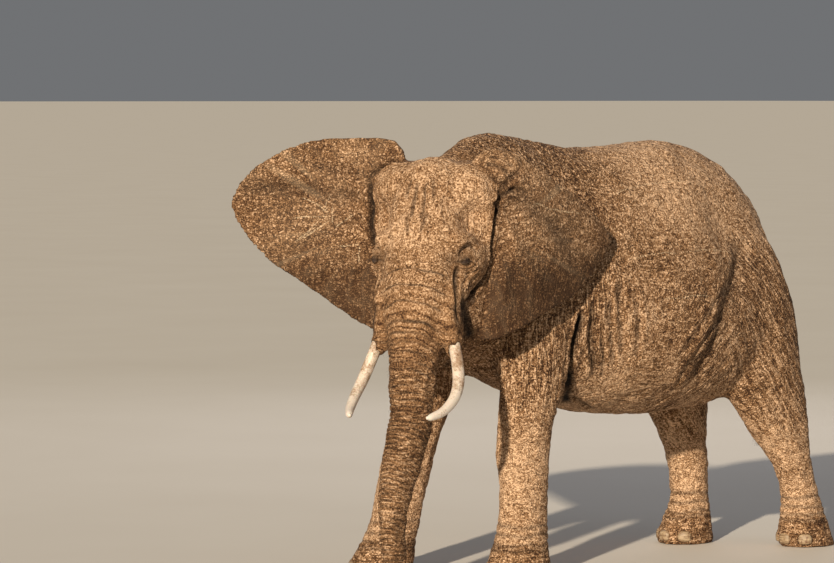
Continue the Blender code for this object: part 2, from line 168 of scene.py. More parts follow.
def wrinkles(points, sizes, seed, sharpness=5):
    # thin branching lines, 1 on the line and falling to 0 beside it
    warp = (cloud(points, (0.09, 0.09, 0.09), seed + 50) - 0.5)[:, None] * 0.03
    return (1 - np.abs(2 * cloud(points + warp, sizes, seed) - 1)) ** sharpness


def bell(x, width):
    return np.exp(-(x / width) ** 2)


def ease(x, start, end):
    t = np.clip((x - start) / (end - start), 0, 1)
    return t * t * (3 - 2 * t)


def flowing(points, step):
    # points every step along a smooth curve through the given ones
    points = np.asarray(points, float)
    if len(points) == 2:
        points = np.array([points[0], points.mean(0), points[1]])
    ends = np.vstack([2 * points[0] - points[1], points, 2 * points[-1] - points[-2]])
    out = []
    for a, b, c, d in zip(ends, ends[1:], ends[2:], ends[3:]):
        count = max(1, int(np.linalg.norm(c - b) / step))
        for t in np.arange(count) / count:
            out.append(0.5 * (2 * b + (c - a) * t + (2 * a - 5 * b + 4 * c - d) * t ** 2
                              + (3 * b - a - 3 * c + d) * t ** 3))
    out.append(points[-1])
    return np.array(out)


# where the camera stands in metres, its heading and downward look in degrees, its lens in mm
cameraSet = {
    "from": (15.185, -13.858, 2.678), "heading": 50.0, "down": 2.934,
    "lens": 155.4, "sensor": 36.0, "farClip": 3000.0,
}


def makeCamera(s):
    data = bpy.data.cameras.new("camera")
    data.lens, data.sensor_width, data.clip_end = s["lens"], s["sensor"], s["farClip"]
    camera = bpy.data.objects.new("camera", data)
    camera.location = s["from"]
    camera.rotation_euler = (radians(90 - s["down"]), 0, radians(s["heading"]))
    scene.collection.objects.link(camera)
    scene.camera = camera


makeCamera(cameraSet)
print("camera placed")

studioSet = {
    "floorColour": "#dad4c9", "floorShade": "#d2cbbf", "floorSize": 3600.0,
    "skyColour": "#dfe2e6", "skyStrength": 0.22,
    # headings and heights in degrees, distances in metres, powers in watts
    "keyHeading": 30.5, "keyHeight": 20.0, "keySpread": 1.5, "keyStrength": 4.8,
    "keyColour": "#fff0da", "softHeight": 30.0, "softSize": 7.0, "softColour": "#f4f2ff",
    "fillHeading": 105.0, "fillPower": 50.0, "backHeading": 222.0, "backPower": 170.0,
    "aim": (0.1, -0.3, 1.2), "distance": 12.0,
}


def makeStudio(s):
    bpy.ops.mesh.primitive_grid_add(x_subdivisions=8, y_subdivisions=8, size=s["floorSize"])
    floor = bpy.context.object
    floor.name = "studio_floor"
    material, tree, shader = newMaterial("paintedPlasterFloor", {"Roughness": 0.9})
    coords = place(tree, "TexCoord", out="Object")
    tone = place(tree, "TexNoise", {"Vector": coords, "Scale": 0.6, "Detail": 3.0})
    ramp = place(tree, "Mix", {0: tone, 6: linear(s["floorColour"]), 7: linear(s["floorShade"])},
                 out=2, data_type="RGBA")
    tree.links.new(ramp, shader.inputs["Base Color"])
    floor.data.materials.append(material)
    world = bpy.data.worlds.new("studio")
    world.use_nodes = True
    sky = world.node_tree.nodes["Background"]
    sky.inputs["Color"].default_value = linear(s["skyColour"])
    sky.inputs["Strength"].default_value = s["skyStrength"]
    scene.world = world
    key = bpy.data.lights.new("key", "SUN")
    key.energy, key.angle = s["keyStrength"], radians(s["keySpread"])
    key.color = linear(s["keyColour"])[:3]
    lamps = [(key, s["keyHeading"], s["keyHeight"])]
    # two wide soft lamps: one opens the shadows, one lights the animal from behind
    for name in ("fill", "back"):
        soft = bpy.data.lights.new(name, "AREA")
        soft.shape, soft.size, soft.energy = "DISK", s["softSize"], s[name + "Power"]
        soft.color = linear(s["softColour"])[:3]
        lamps.append((soft, s[name + "Heading"], s["softHeight"]))
    for data, heading, height in lamps:
        lamp = bpy.data.objects.new(data.name, data)
        turn, rise = radians(heading), radians(height)
        away = Vector((sin(turn) * cos(rise), -cos(turn) * cos(rise), sin(rise)))
        lamp.location = Vector(s["aim"]) + away * s["distance"]
        lamp.rotation_euler = away.to_track_quat("Z", "Y").to_euler()
        scene.collection.objects.link(lamp)
    scene.view_settings.view_transform = "Standard"


makeStudio(studioSet)
print("studio lit")


# the net's grain (m), rounds of smoothing for the body, for thin parts, for the zones and for the
# finer net of the face, and how far round each eye the net is split again (m)
hideSet = {
    "grain": 0.009, "smoothing": 55, "thinSmoothing": 26, "zoneBlur": 18, "fineRounds": 3,
    "eyeReaches": (0.075, 0.048),
}

separateNodes = ("eye", "tusk", "nail", "tail_tuft")
fleshNodes = sorted(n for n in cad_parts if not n.startswith(separateNodes))
zoneNames = ("trunk", "head", "ear", "neck", "torso", "leg", "foot", "tail")


def zoneOf(node):
    if "foot" in node or "nail" in node:
        return "foot"
    for word, zone in (("trunk", "trunk"), ("ear_", "ear"), ("leg", "leg"), ("thigh", "leg"),
                       ("tail", "tail"), ("neck", "neck"), ("head", "head"), ("jaw", "head"),
                       ("eye", "head")):
        if word in node:
            return zone
    return "torso"


def gatherFlesh():
    # eyes and nails fill their sockets here, so the hide closes over them before it is opened
    corners, faces, zones = [], [], []
    for name in fleshNodes + [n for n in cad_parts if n.startswith(("eye", "nail"))]:
        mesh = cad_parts[name].data
        start = len(corners)
        corners += [v.co[:] for v in mesh.vertices]
        faces += [[start + i for i in p.vertices] for p in mesh.polygons]
        zones += [zoneNames.index(zoneOf(name))] * len(mesh.polygons)
    return corners, faces, np.array(zones)


def remeshed(corners, faces, grain):
    mesh = bpy.data.meshes.new("flesh")
    mesh.from_pydata(corners, [], faces)
    body = bpy.data.objects.new("flesh", mesh)
    scene.collection.objects.link(body)
    remesh = body.modifiers.new("remesh", "REMESH")
    remesh.mode, remesh.voxel_size = "VOXEL", grain
    graph = bpy.context.evaluated_depsgraph_get()
    made = body.evaluated_get(graph).data
    points = np.empty(len(made.vertices) * 3)
    made.vertices.foreach_get("co", points)
    loops = np.empty(len(made.loops), np.int64)
    made.loops.foreach_get("vertex_index", loops)
    points, quads = points.reshape(-1, 3), loops.reshape(-1, 4)
    bpy.data.objects.remove(body)
    return points, quads


def mainIsland(points, quads):
    # keeps the largest connected shell and drops specks left inside the seams
    label = np.arange(len(points))
    a, b = quads.ravel(), np.roll(quads, -1, 1).ravel()
    while True:
        low = np.minimum(label[a], label[b])
        fresh = label.copy()
        np.minimum.at(fresh, a, low)
        np.minimum.at(fresh, b, low)
        fresh = fresh[fresh]
        if (fresh == label).all():
            break
        label = fresh
    main = np.bincount(label).argmax()
    kept = label == main
    renumber = np.cumsum(kept) - 1
    return points[kept], renumber[quads[kept[quads[:, 0]]]]


class Hide:
    # points, quads, faces with extra corners, links between neighbours, and fields for each point
    edgeBase = 4000000   # more than the points, so one number can name an edge


def readLinks(hide):
    rings = [hide.quads.ravel()] + hide.extras
    turned = [np.roll(hide.quads, -1, 1).ravel()] + [np.roll(face, -1) for face in hide.extras]
    a, b = np.concatenate(rings), np.concatenate(turned)
    low, high = np.minimum(a, b), np.maximum(a, b)
    keys = np.unique(low.astype(np.int64) * hide.edgeBase + high)
    hide.a, hide.b = np.divmod(keys, hide.edgeBase)
    count = len(hide.points)
    hide.links = np.bincount(hide.a, minlength=count) + np.bincount(hide.b, minlength=count)


def refine(hide, chosen):
    # splits the chosen quads in four; quads beside them take the new edge points as extra corners
    quads, count = hide.quads, len(hide.points)
    a, b = quads, np.roll(quads, -1, 1)
    keys = np.minimum(a, b).astype(np.int64) * hide.edgeBase + np.maximum(a, b)
    split = np.unique(keys[chosen])
    ends = np.stack(np.divmod(split, hide.edgeBase), 1)

    def grown(field):
        return np.concatenate([field, field[ends].mean(1), field[quads[chosen]].mean(1)])

    found = np.minimum(np.searchsorted(split, keys), len(split) - 1)
    onEdge = np.where(split[found] == keys, count + found, -1)
    centre = count + len(split) + np.arange(chosen.sum())
    mid, own = onEdge[chosen], quads[chosen]
    fresh = [np.stack([own[:, k], mid[:, k], centre, mid[:, k - 1]], 1) for k in range(4)]
    beside = ~chosen & (onEdge >= 0).any(1)
    extras = list(hide.extras)
    for face, middles in zip(quads[beside], onEdge[beside]):
        extras.append(np.array([v for pair in zip(face, middles) for v in pair if v >= 0]))
    hide.quads = np.concatenate([quads[~chosen & ~beside]] + fresh)
    hide.extras = extras
    hide.points = grown(hide.points)
    hide.zone = {name: grown(field) for name, field in hide.zone.items()}
    readLinks(hide)


def neighbours(hide, field):
    count = len(hide.points)
    if field.ndim == 1:
        return (np.bincount(hide.a, field[hide.b], count)
                + np.bincount(hide.b, field[hide.a], count)) / hide.links
    return np.stack([neighbours(hide, field[:, k]) for k in range(field.shape[1])], 1)


def relax(hide, rounds, mask=None):
    # smooths and swells in turn, so facets go and volume stays
    for _ in range(rounds):
        for strength in (0.60, -0.615):
            move = (neighbours(hide, hide.points) - hide.points) * strength
            hide.points = hide.points + (move if mask is None else move * mask[:, None])


def readNormals(hide):
    p = hide.points[hide.quads]
    across = np.cross(p[:, 2] - p[:, 0], p[:, 3] - p[:, 1])
    total = np.zeros_like(hide.points)
    for k in range(4):
        for axis in range(3):
            total[:, axis] += np.bincount(hide.quads[:, k], across[:, axis], len(total))
    hide.normals = unit(total)


def blurred(hide, field, rounds):
    for _ in range(rounds):
        field = field * 0.4 + neighbours(hide, field) * 0.6
    return field


def startHide(s):
    hide = Hide()
    corners, faces, zones = gatherFlesh()
    hide.points, hide.quads = mainIsland(*remeshed(corners, faces, s["grain"]))
    hide.extras = []
    readLinks(hide)
    nearest = BVHTree.FromPolygons(corners, faces)
    owner = zones[[nearest.find_nearest(p)[2] for p in hide.points]]
    hide.zone = {name: blurred(hide, (owner == k).astype(float), s["zoneBlur"])
                 for k, name in enumerate(zoneNames)}
    print("hide remeshed,", len(hide.points), "points")
    thin = np.clip(hide.zone["ear"] * 1.6 + hide.zone["tail"] * 2, 0, 1)
    relax(hide, s["thinSmoothing"])
    relax(hide, s["smoothing"], 1 - thin)
    # the face and trunk carry the finest folds, so they get a finer net
    forwards = toHead(hide.points[hide.quads].mean(1))[0]
    fine = hide.zone["trunk"] + hide.zone["head"]
    refine(hide, (fine[hide.quads].mean(1) > 0.4) & (forwards > -0.36))
    for _ in range(s["fineRounds"]):
        hide.points += (neighbours(hide, hide.points) - hide.points) * 0.5
    for reach in s["eyeReaches"]:
        centres = hide.points[hide.quads].mean(1)
        near = [np.linalg.norm(centres - eye, axis=1) < reach for eye in (eyeLeft, eyeRight)]
        refine(hide, near[0] | near[1])
    readNormals(hide)
    return hide


hide = startHide(hideSet)
print("hide smoothed,", len(hide.points), "points")


def startSculpt(hide):
    count = len(hide.points)
    hide.rise = np.zeros(count)      # metres to move along the normal
    hide.stain = np.zeros(count)     # painted shade held in folds, creases and hollows
    hide.pale = np.zeros(count)      # worn and raised lines that catch dust
    hide.scarOff = np.full(count, 0.05)   # metres to one side of the nearest scratch
    hide.scarShow = np.zeros(count)  # how strong that scratch is
    hide.ring = np.zeros(count)      # counts the rings down the trunk
    hide.cross = np.zeros(count)     # how far lines run level round a limb or the trunk
    hide.hang = np.zeros(count)      # how far lines run upright
    hide.slant = np.zeros(count)     # how far lines run aslant, rising towards the tail
    hide.fan = np.zeros(count)       # how far lines run aslant, falling towards the tail
    hide.calm = np.zeros(count)      # where the hide is too thin and supple to crack


def settle(hide):
    hide.points = hide.points + hide.normals * hide.rise[:, None]
    hide.rise = np.zeros(len(hide.points))
    readNormals(hide)


def laidOn(hide, line, step=0.012):
    # the line's points moved onto the nearest of the hide, then evened out
    path = flowing(line, step)
    low, high = path.min(0) - 0.07, path.max(0) + 0.07
    near = hide.points[((hide.points > low) & (hide.points < high)).all(1)]
    if len(near) == 0:
        return path
    out = np.array([near[((near - p) ** 2).sum(1).argmin()] for p in path])
    for _ in range(2):
        out[1:-1] = (out[:-2] + 2 * out[1:-1] + out[2:]) / 4
    return out


def beside(hide, path, reach):
    # the hide's points within reach of a path, how far off they are and how far along it
    low, high = path.min(0) - reach, path.max(0) + reach
    near = np.flatnonzero(((hide.points > low) & (hide.points < high)).all(1))
    spots = hide.points[near]
    best, along = np.full(len(near), 9.0), np.zeros(len(near))
    lengths = np.linalg.norm(np.diff(path, axis=0), axis=1)
    total, gone = lengths.sum(), 0.0
    for a, b, length in zip(path, path[1:], lengths):
        t = np.clip((spots - a) @ (b - a) / max(length ** 2, 1e-9), 0, 1)
        off = np.linalg.norm(spots - a - t[:, None] * (b - a), axis=1)
        closer = off < best
        best = np.where(closer, off, best)
        along = np.where(closer, (gone + t * length) / total, along)
        gone += length
    kept = best < reach
    return near[kept], best[kept], along[kept]


def fold(hide, line, depth, width, lip=0.0, stain=0.0, fade=0.18, wobble=0.25, seed=1):
    # presses a groove along a line, with a soft lip on each side, and paints shade into it; all
    # sizes in millimetres
    width = width / 1000
    path = laidOn(hide, line)
    near, off, along = beside(hide, path, width * 4.5)
    ends = ease(along, -0.001, fade) * ease(1 - along, -0.001, fade) if fade else 1.0
    uneven = 1 - wobble + 2 * wobble * cloud(hide.points[near], (0.05, 0.05, 0.05), seed)
    strength = ends * uneven
    hide.rise[near] += strength * (lip * bell(off - 2.1 * width, width * 1.1)
                                   - depth * bell(off, width)) / 1000
    # painted shade along the groove's floor
    hide.stain[near] = np.maximum(hide.stain[near], stain * strength * bell(off, width * 1.3))


def scratch(hide, line, strength=1.0):
    # keeps how far each point lies to one side of its scratch, so a line finer than the net shows
    path = laidOn(hide, line)
    near, _, along = beside(hide, path, 0.03)
    nearest = np.linalg.norm(hide.points[near][:, None] - path[None], axis=2).argmin(1)
    tangent = unit(np.gradient(path, axis=0))[nearest]
    away = ((hide.points[near] - path[nearest]) * np.cross(hide.normals[near], tangent)).sum(1)
    closer = np.abs(away) < np.abs(hide.scarOff[near])
    near, away, along = near[closer], away[closer], along[closer]
    hide.scarOff[near] = away
    hide.scarShow[near] = strength * ease(along, 0, 0.15) * ease(1 - along, 0, 0.15)


def otherSide(line):
    return [(2 * bodyMiddle - x, y + 0.02, z) for x, y, z in line]


def headLine(line, side=1):
    return [fromHead(f, l * side, up) for f, l, up in line]


def dent(hide, centre, sizes, depth, dirt=0.0):
    # a soft hollow (or swelling, where depth is below 0) in head axes; sizes in metres, depth in mm
    f, l, up = toHead(hide.points)
    q = (((f - centre[0]) / sizes[0]) ** 2 + ((l - centre[1]) / sizes[1]) ** 2
         + ((up - centre[2]) / sizes[2]) ** 2)
    hide.rise -= np.exp(-q) * depth / 1000
    # darkness paints shade into the hollow
    hide.stain = np.maximum(hide.stain, dirt * np.exp(-q))


# swellings in millimetres unless said: loose hide, its lumps, the face's larger and smaller ones,
# the ears' waves (in metres) and veins, and the depth of hollow that gets full painted shade
formSet = {
    "bag": 12.0, "lump": 4.5, "face": 10.0, "faceLump": 3.0, "earSwell": 0.022, "veinRise": 2.2,
    "dirtDepth": 50.0,
}

# hollows of the face, or swellings where the depth is below 0: centre and sizes in head axes (m),
# depth (mm) and the painted shade held; those off the middle come on both sides
faceForms = (
    ((-0.015, 0.252, 0.064), (0.055, 0.05, 0.034), 26, 0.62),    # over the eye
    ((0.0, 0.262, -0.26), (0.055, 0.05, 0.10), 26, 0.92),        # between cheek and trunk
    ((0.05, 0.225, -0.075), (0.06, 0.05, 0.060), 26, 0.15),      # under the eye's front corner
    ((0.01, 0.22, 0.125), (0.08, 0.06, 0.030), -12, 0),          # brow ridge
    ((-0.15, 0.27, 0.06), (0.06, 0.05, 0.08), 16, 0),            # behind the eye
    ((-0.13, 0.26, 0.23), (0.08, 0.06, 0.09), 16, 0),            # temple
    ((0.045, 0.17, -0.03), (0.05, 0.05, 0.09), -6, 0),           # side of the trunk's root
    ((-0.08, 0.27, -0.10), (0.06, 0.06, 0.07), -10, 0),          # cheekbone
    ((-0.03, 0.27, -0.20), (0.05, 0.05, 0.05), -6, 0),           # lower cheek
    ((0.03, 0.15, 0.26), (0.08, 0.06, 0.12), -8, 0),             # forehead boss
    ((-0.06, 0.17, 0.42), (0.10, 0.08, 0.06), -9, 0),            # crown
    ((0.05, 0.0, 0.35), (0.10, 0.035, 0.12), 9, 0),              # the forehead's middle groove
    ((0.10, 0.0, 0.08), (0.10, 0.10, 0.05), 8, 0),               # between the eyes
    ((0.13, 0.0, -0.03), (0.08, 0.12, 0.05), -5, 0),             # top of the trunk
)

# where each ear leaves the head (forward, leftward, up), and which way it spreads and faces
ears = {
    1: {"root": (-0.22, 0.345, 0.15), "spread": (-0.869, 0.495), "faces": (0.49, 0.87)},
    -1: {"root": (-0.235, -0.40, 0.17), "spread": (-0.02, -1.0), "faces": (1.0, -0.02)},
}

# valleys that fan out over each ear: angle and width in degrees, depth in millimetres
earValleys = {1: ((-58, 12, 12),), -1: ((46, 12, 9), (-27, 9, 8), (-52, 12, 12))}

# and valleys along a line in head axes, with their depth and width in millimetres
earHollows = {
    1: ((((-0.267, 0.389, 0.375), (-0.352, 0.502, 0.293), (-0.504, 0.591, 0.181),
          (-0.677, 0.644, 0.039)), 22, 60),
        (((-0.254, 0.366, 0.240), (-0.274, 0.387, 0.078), (-0.292, 0.420, -0.085),
          (-0.331, 0.441, -0.249)), 10, 40),
        (((-0.260, 0.380, 0.321), (-0.289, 0.439, 0.186), (-0.355, 0.489, 0.049),
          (-0.475, 0.544, -0.118), (-0.587, 0.561, -0.260)), 12, 45)),
    -1: ((((-0.222, -0.407, 0.341), (-0.230, -0.565, 0.339), (-0.235, -0.747, 0.365),
           (-0.218, -0.922, 0.375), (-0.191, -1.061, 0.363), (-0.169, -1.172, 0.335)), 19, 38),
         (((-0.210, -0.402, 0.232), (-0.203, -0.553, 0.176), (-0.193, -0.730, 0.091),
           (-0.179, -0.873, 0.007)), 9, 40)),
}


def earSpots(points, side):
    # distance from the ear's root and angle round it, in the ear's own plane
    f, l, up = toHead(points)
    ear = ears[side]
    out = (f - ear["root"][0]) * ear["spread"][0] + (l - ear["root"][1]) * ear["spread"][1]
    return np.hypot(out, up - ear["root"][2]), np.degrees(np.arctan2(up - ear["root"][2], out))


def bendEars(hide, s):
    # both faces of an ear move together, so it stays as thin as it was
    left = toHead(hide.points)[1] > 0
    for side in (1, -1):
        far, angle = earSpots(hide.points, side)
        move = np.zeros(len(far))
        for middleAngle, width, depth in earValleys[side]:
            wander = (cloud(hide.points, (0.25, 0.25, 0.25), middleAngle + 90) - 0.5) * 9
            move -= bell(angle - middleAngle - wander, width) * depth / 1000
        move = move * ease(far, 0.06, 0.30) * (1 - 0.4 * ease(far, 0.5, 0.8))
        swell = clouds(hide.points, (0.22, 0.22, 0.18), 61, 2) - 0.5
        move += s["earSwell"] * swell * ease(far, 0.1, 0.3)
        for line, depth, width in earHollows[side]:
            near, off, along = beside(hide, flowing(headLine(line), 0.02), width / 400)
            ends = bell(off, width / 1000) * ease(along, 0, 0.1) * ease(1 - along, -0.2, 0.3)
            move[near] -= ends * depth / 1000
            # painted shade in the ear's hollows, darker where deeper
            hide.stain[near] = np.maximum(hide.stain[near], ends * depth / s["dirtDepth"])
        faces = forward * ears[side]["faces"][0] + leftward * ears[side]["faces"][1]
        share = hide.zone["ear"] * (left == (side > 0))
        hide.points = hide.points + faces * (move * share)[:, None]
        # veins stand up on both faces as fine branching lines
        spun = np.stack([np.radians(angle) * 0.42, far, far * 0], 1)
        spun = spun + (clouds(hide.points, (0.12, 0.12, 0.12), 75, 2) - 0.5)[:, None] * 0.06
        veins = wrinkles(spun, (0.075, 0.22, 1.0), 71, 5) * ease(far, 0.08, 0.25) * share
        hide.rise += veins * s["veinRise"] / 1000
        # and dust lies in rays between them
        spun = np.stack([np.radians(angle), far * 0.25, far * 0], 1)
        rays = ease(clouds(spun, (0.09, 0.09, 1.0), 77, 2), 0.5, 0.75)
        rays = rays * ease(far, 0.15, 0.35) * ease(far, 0.85, 0.5) * ease(np.abs(angle), 60, 30)
        hide.pale = np.maximum(hide.pale, np.maximum(veins * 0.05, rays * 0.16) * share)
    readNormals(hide)


def shapeForms(hide, s):
    p = hide.points
    loose = np.clip(1 - hide.zone["ear"] - hide.zone["tail"] - hide.zone["foot"], 0, 1)
    hide.rise += loose * (clouds(p, (0.24, 0.24, 0.3), 11, 2) - 0.5) * s["bag"] / 500
    hide.rise += loose * (clouds(p, (0.07, 0.07, 0.07), 21, 2) - 0.5) * s["lump"] / 500
    face = hide.zone["head"] + hide.zone["trunk"]
    hide.rise += face * (clouds(p, (0.11, 0.11, 0.12), 15, 2) - 0.5) * s["face"] / 500
    hide.rise += face * (cloud(p, (0.045, 0.045, 0.05), 18) - 0.5) * s["faceLump"] / 500
    for centre, sizes, depth, dirt in faceForms:
        for side in (1, -1) if centre[1] else (1,):
            dent(hide, (centre[0], centre[1] * side, centre[2]), sizes, depth, dirt)
    settle(hide)
    bendEars(hide, s)
    settle(hide)


startSculpt(hide)
shapeForms(hide, formSet)
print("forms shaped")

# the hip's long hollow comes twice: a broad valley and a crease along its floor
hipLine = ((0.376, 1.083, 1.892), (0.428, 1.006, 1.792), (0.492, 0.909, 1.652),
           (0.561, 0.751, 1.448), (0.555, 0.668, 1.268), (0.511, 0.608, 1.132),
           (0.394, 0.595, 0.988))

# folds of the body: points in metres; depth, width and lip in millimetres; the painted shade
# held, from 0 to 1; and whether the far side has one too
bodyFolds = (
    (((0.502, -0.041, 1.705), (0.518, -0.063, 1.600), (0.522, -0.075, 1.489),
      (0.516, -0.053, 1.376), (0.505, -0.043, 1.308), (0.480, -0.030, 1.200)),
     12, 20, 6, 0.18, True),
    (((0.490, -0.233, 1.560), (0.480, -0.233, 1.438), (0.458, -0.228, 1.325),
      (0.435, -0.184, 1.210), (0.373, -0.119, 1.081)), 24, 20, 8, 0.45, True),
    (((0.476, -0.169, 1.362), (0.461, -0.147, 1.266), (0.430, -0.110, 1.151),
      (0.382, -0.081, 1.074)), 13, 17, 5, 0.18, True),
    (((0.508, -0.137, 1.600), (0.502, -0.124, 1.434), (0.484, -0.093, 1.293),
      (0.450, -0.050, 1.150)), 11, 18, 5, 0.15, True),
    (((0.520, 0.030, 1.620), (0.530, 0.050, 1.450), (0.520, 0.060, 1.300), (0.500, 0.080, 1.200)),
     8, 19, 4, 0.1, True),
    (((0.473, -0.303, 1.518), (0.445, -0.312, 1.428), (0.420, -0.322, 1.338),
      (0.397, -0.328, 1.237), (0.376, -0.320, 1.146), (0.320, -0.275, 1.090)),
     38, 17, 6, 1.0, False),
    (((0.395, -0.328, 1.220), (0.374, -0.313, 1.146), (0.284, -0.246, 1.059),
      (0.199, -0.180, 0.989), (0.082, -0.089, 0.925)), 10, 24, 0, 1.0, False),
    (((0.221, -0.185, 0.996), (0.186, -0.053, 0.941), (0.116, 0.119, 0.888)),
     12, 16, 5, 0.4, True),
    (hipLine, 38, 78, 0, 0.4, True),
    (hipLine, 6, 26, 0, 0.1, True),
    (((0.492, 0.909, 1.652), (0.556, 0.724, 1.563), (0.585, 0.551, 1.423), (0.568, 0.425, 1.274),
      (0.525, 0.326, 1.163)), 9, 20, 5, 0.12, True),
    (((0.561, 0.751, 1.448), (0.571, 0.597, 1.324), (0.536, 0.488, 1.185), (0.463, 0.417, 1.059)),
     9, 20, 5, 0.12, True),
    (((0.559, 0.657, 1.281), (0.537, 0.535, 1.182), (0.490, 0.469, 1.098), (0.416, 0.439, 1.009)),
     9, 20, 4, 0.12, True),
)

# folds of the head, in its own axes (forward, leftward, up), on both sides; the last number is the
# painted shade held, from 0 to 1
headFolds = (
    (((0.020, 0.240, 0.012), (0.012, 0.260, 0.054), (-0.008, 0.281, 0.075), (-0.048, 0.294, 0.079),
      (-0.085, 0.290, 0.055)), 17, 15, 8, 0.5),
    (((0.005, 0.246, -0.037), (-0.020, 0.264, -0.051), (-0.039, 0.286, -0.040),
      (-0.058, 0.307, -0.010)), 7, 8, 5, 0.35),
    (((0.012, 0.243, -0.050), (-0.015, 0.262, -0.072), (-0.045, 0.283, -0.066),
      (-0.075, 0.300, -0.035)), 6, 8, 4, 0.25),
    (((0.004, 0.236, 0.002), (0.014, 0.230, -0.035), (0.025, 0.222, -0.080),
      (0.040, 0.231, -0.153), (0.046, 0.251, -0.249), (0.050, 0.262, -0.330)), 17, 12, 6, 0.85),
    (((0.010, 0.247, -0.187), (-0.063, 0.236, -0.266), (-0.136, 0.219, -0.351),
      (-0.227, 0.196, -0.449)), 12, 32, 0, 0.95),
    (((0.050, 0.223, -0.206), (0.060, 0.236, -0.311), (0.050, 0.240, -0.420)), 8, 20, 0, 0.8),
    (((-0.030, 0.245, 0.105), (-0.055, 0.262, 0.090), (-0.090, 0.275, 0.050)), 6, 10, 3, 0.25),
    (((-0.100, 0.270, -0.040), (-0.080, 0.270, -0.100), (-0.040, 0.262, -0.170)), 5, 11, 3, 0.2),
    (((-0.140, 0.270, -0.060), (-0.120, 0.270, -0.120), (-0.080, 0.268, -0.180)), 5, 11, 3, 0.2),
    (((-0.060, 0.260, -0.030), (-0.040, 0.255, -0.080), (-0.010, 0.250, -0.140)), 5, 10, 3, 0.2),
    (((-0.028, 0.027, 0.431), (-0.010, 0.025, 0.377), (0.017, 0.032, 0.297), (0.061, 0.026, 0.207)),
     7, 7, 3, 0.55),
    (((-0.042, 0.066, 0.442), (-0.012, 0.075, 0.389), (0.008, 0.087, 0.325)), 6, 7, 2, 0.45),
    (((0.029, 0.056, 0.270), (0.060, 0.050, 0.207), (0.091, 0.031, 0.139)), 6, 7, 2, 0.4),
    (((-0.020, 0.130, 0.360), (0.020, 0.150, 0.270), (0.030, 0.170, 0.180)), 4, 10, 2, 0.15),
)

# deep creases where each ear leaves the head, and the rolled lobe at its top, left ear first; the
# last number is the painted shade held
earFolds = (
    (((-0.254, 0.365, 0.375), (-0.230, 0.357, 0.322), (-0.246, 0.351, 0.278),
      (-0.234, 0.344, 0.186), (-0.222, 0.330, 0.110), (-0.219, 0.326, 0.052),
      (-0.220, 0.308, -0.049), (-0.201, 0.281, -0.110), (-0.134, 0.261, -0.178),
      (-0.060, 0.262, -0.215), (0.004, 0.262, -0.245)), 32, 13, 6, 1.0),
    (((-0.233, 0.252, 0.526), (-0.233, 0.266, 0.559), (-0.236, 0.320, 0.581),
      (-0.264, 0.370, 0.570), (-0.298, 0.418, 0.537), (-0.327, 0.454, 0.499)), -20, 20, 0, 0.0),
    (((-0.206, 0.291, 0.484), (-0.236, 0.297, 0.513), (-0.249, 0.338, 0.510),
      (-0.270, 0.385, 0.483), (-0.285, 0.411, 0.451)), 10, 10, 4, 0.3),
    (((-0.341, 0.466, 0.483), (-0.292, 0.420, 0.445), (-0.264, 0.382, 0.391),
      (-0.223, 0.360, 0.344)), 16, 16, 9, 0.45),
    (((-0.202, 0.339, 0.290), (-0.236, 0.360, 0.332), (-0.276, 0.404, 0.364),
      (-0.308, 0.455, 0.375)), 20, 14, 8, 0.8),
    (((-0.190, 0.308, 0.452), (-0.247, 0.350, 0.429), (-0.288, 0.421, 0.386),
      (-0.368, 0.502, 0.352)), 12, 14, 8, 0.4),
    (((-0.242, -0.416, 0.450), (-0.232, -0.393, 0.407), (-0.222, -0.378, 0.352),
      (-0.211, -0.367, 0.293), (-0.211, -0.370, 0.238), (-0.206, -0.372, 0.172),
      (-0.200, -0.355, 0.080), (-0.200, -0.330, -0.030)), 28, 14, 6, 0.9),
    (((-0.233, -0.199, 0.534), (-0.227, -0.255, 0.512), (-0.241, -0.332, 0.484),
      (-0.239, -0.385, 0.451), (-0.235, -0.412, 0.412)), 18, 14, 10, 0.5),
    (((-0.237, -0.413, 0.423), (-0.248, -0.514, 0.466), (-0.252, -0.635, 0.487),
      (-0.240, -0.749, 0.486)), 10, 26, 6, 0.15),
)


def pressFolds(hide):
    for n, (line, depth, width, lip, stain, both) in enumerate(bodyFolds):
        fold(hide, line, depth, width, lip, stain, seed=n)
        if both:
            fold(hide, otherSide(line), depth, width, lip, stain, seed=n + 40)
    for n, (line, depth, width, lip, stain) in enumerate(headFolds):
        for side in (1, -1):
            fold(hide, headLine(line, side), depth, width, lip, stain, seed=n + side + 60)
    for n, (line, depth, width, lip, stain) in enumerate(earFolds):
        fold(hide, headLine(line), depth, width, lip, stain, seed=n + 80)
    settle(hide)


pressFolds(hide)
print("folds pressed")

# the trunk's middle line in head axes: up, forward, leftward
trunkLine = np.array((
    (0.02, -0.075, 0.0), (-0.14, -0.03, 0.0), (-0.28, 0.015, 0.0), (-0.42, 0.055, -0.004),
    (-0.56, 0.083, -0.008), (-0.70, 0.092, -0.008), (-0.86, 0.112, -0.010), (-0.99, 0.140, -0.030),
    (-1.14, 0.186, -0.046), (-1.27, 0.22, -0.06), (-1.40, 0.238, -0.062), (-1.52, 0.232, -0.062),
    (-1.61, 0.195, -0.062)))
# where the first rings lie down the trunk and how the gaps shrink, in metres; each ring's depth,
# width and the swelling between two, in millimetres; how far the rings arch up in front
trunkSet = {
    "firstRings": (0.030, 0.115, 0.20, 0.293, 0.393), "step": 0.052, "lastStep": 0.027,
    "shrink": 0.955, "depth": 6.5, "swell": 2.6, "width": 5.5, "arch": 0.065,
}


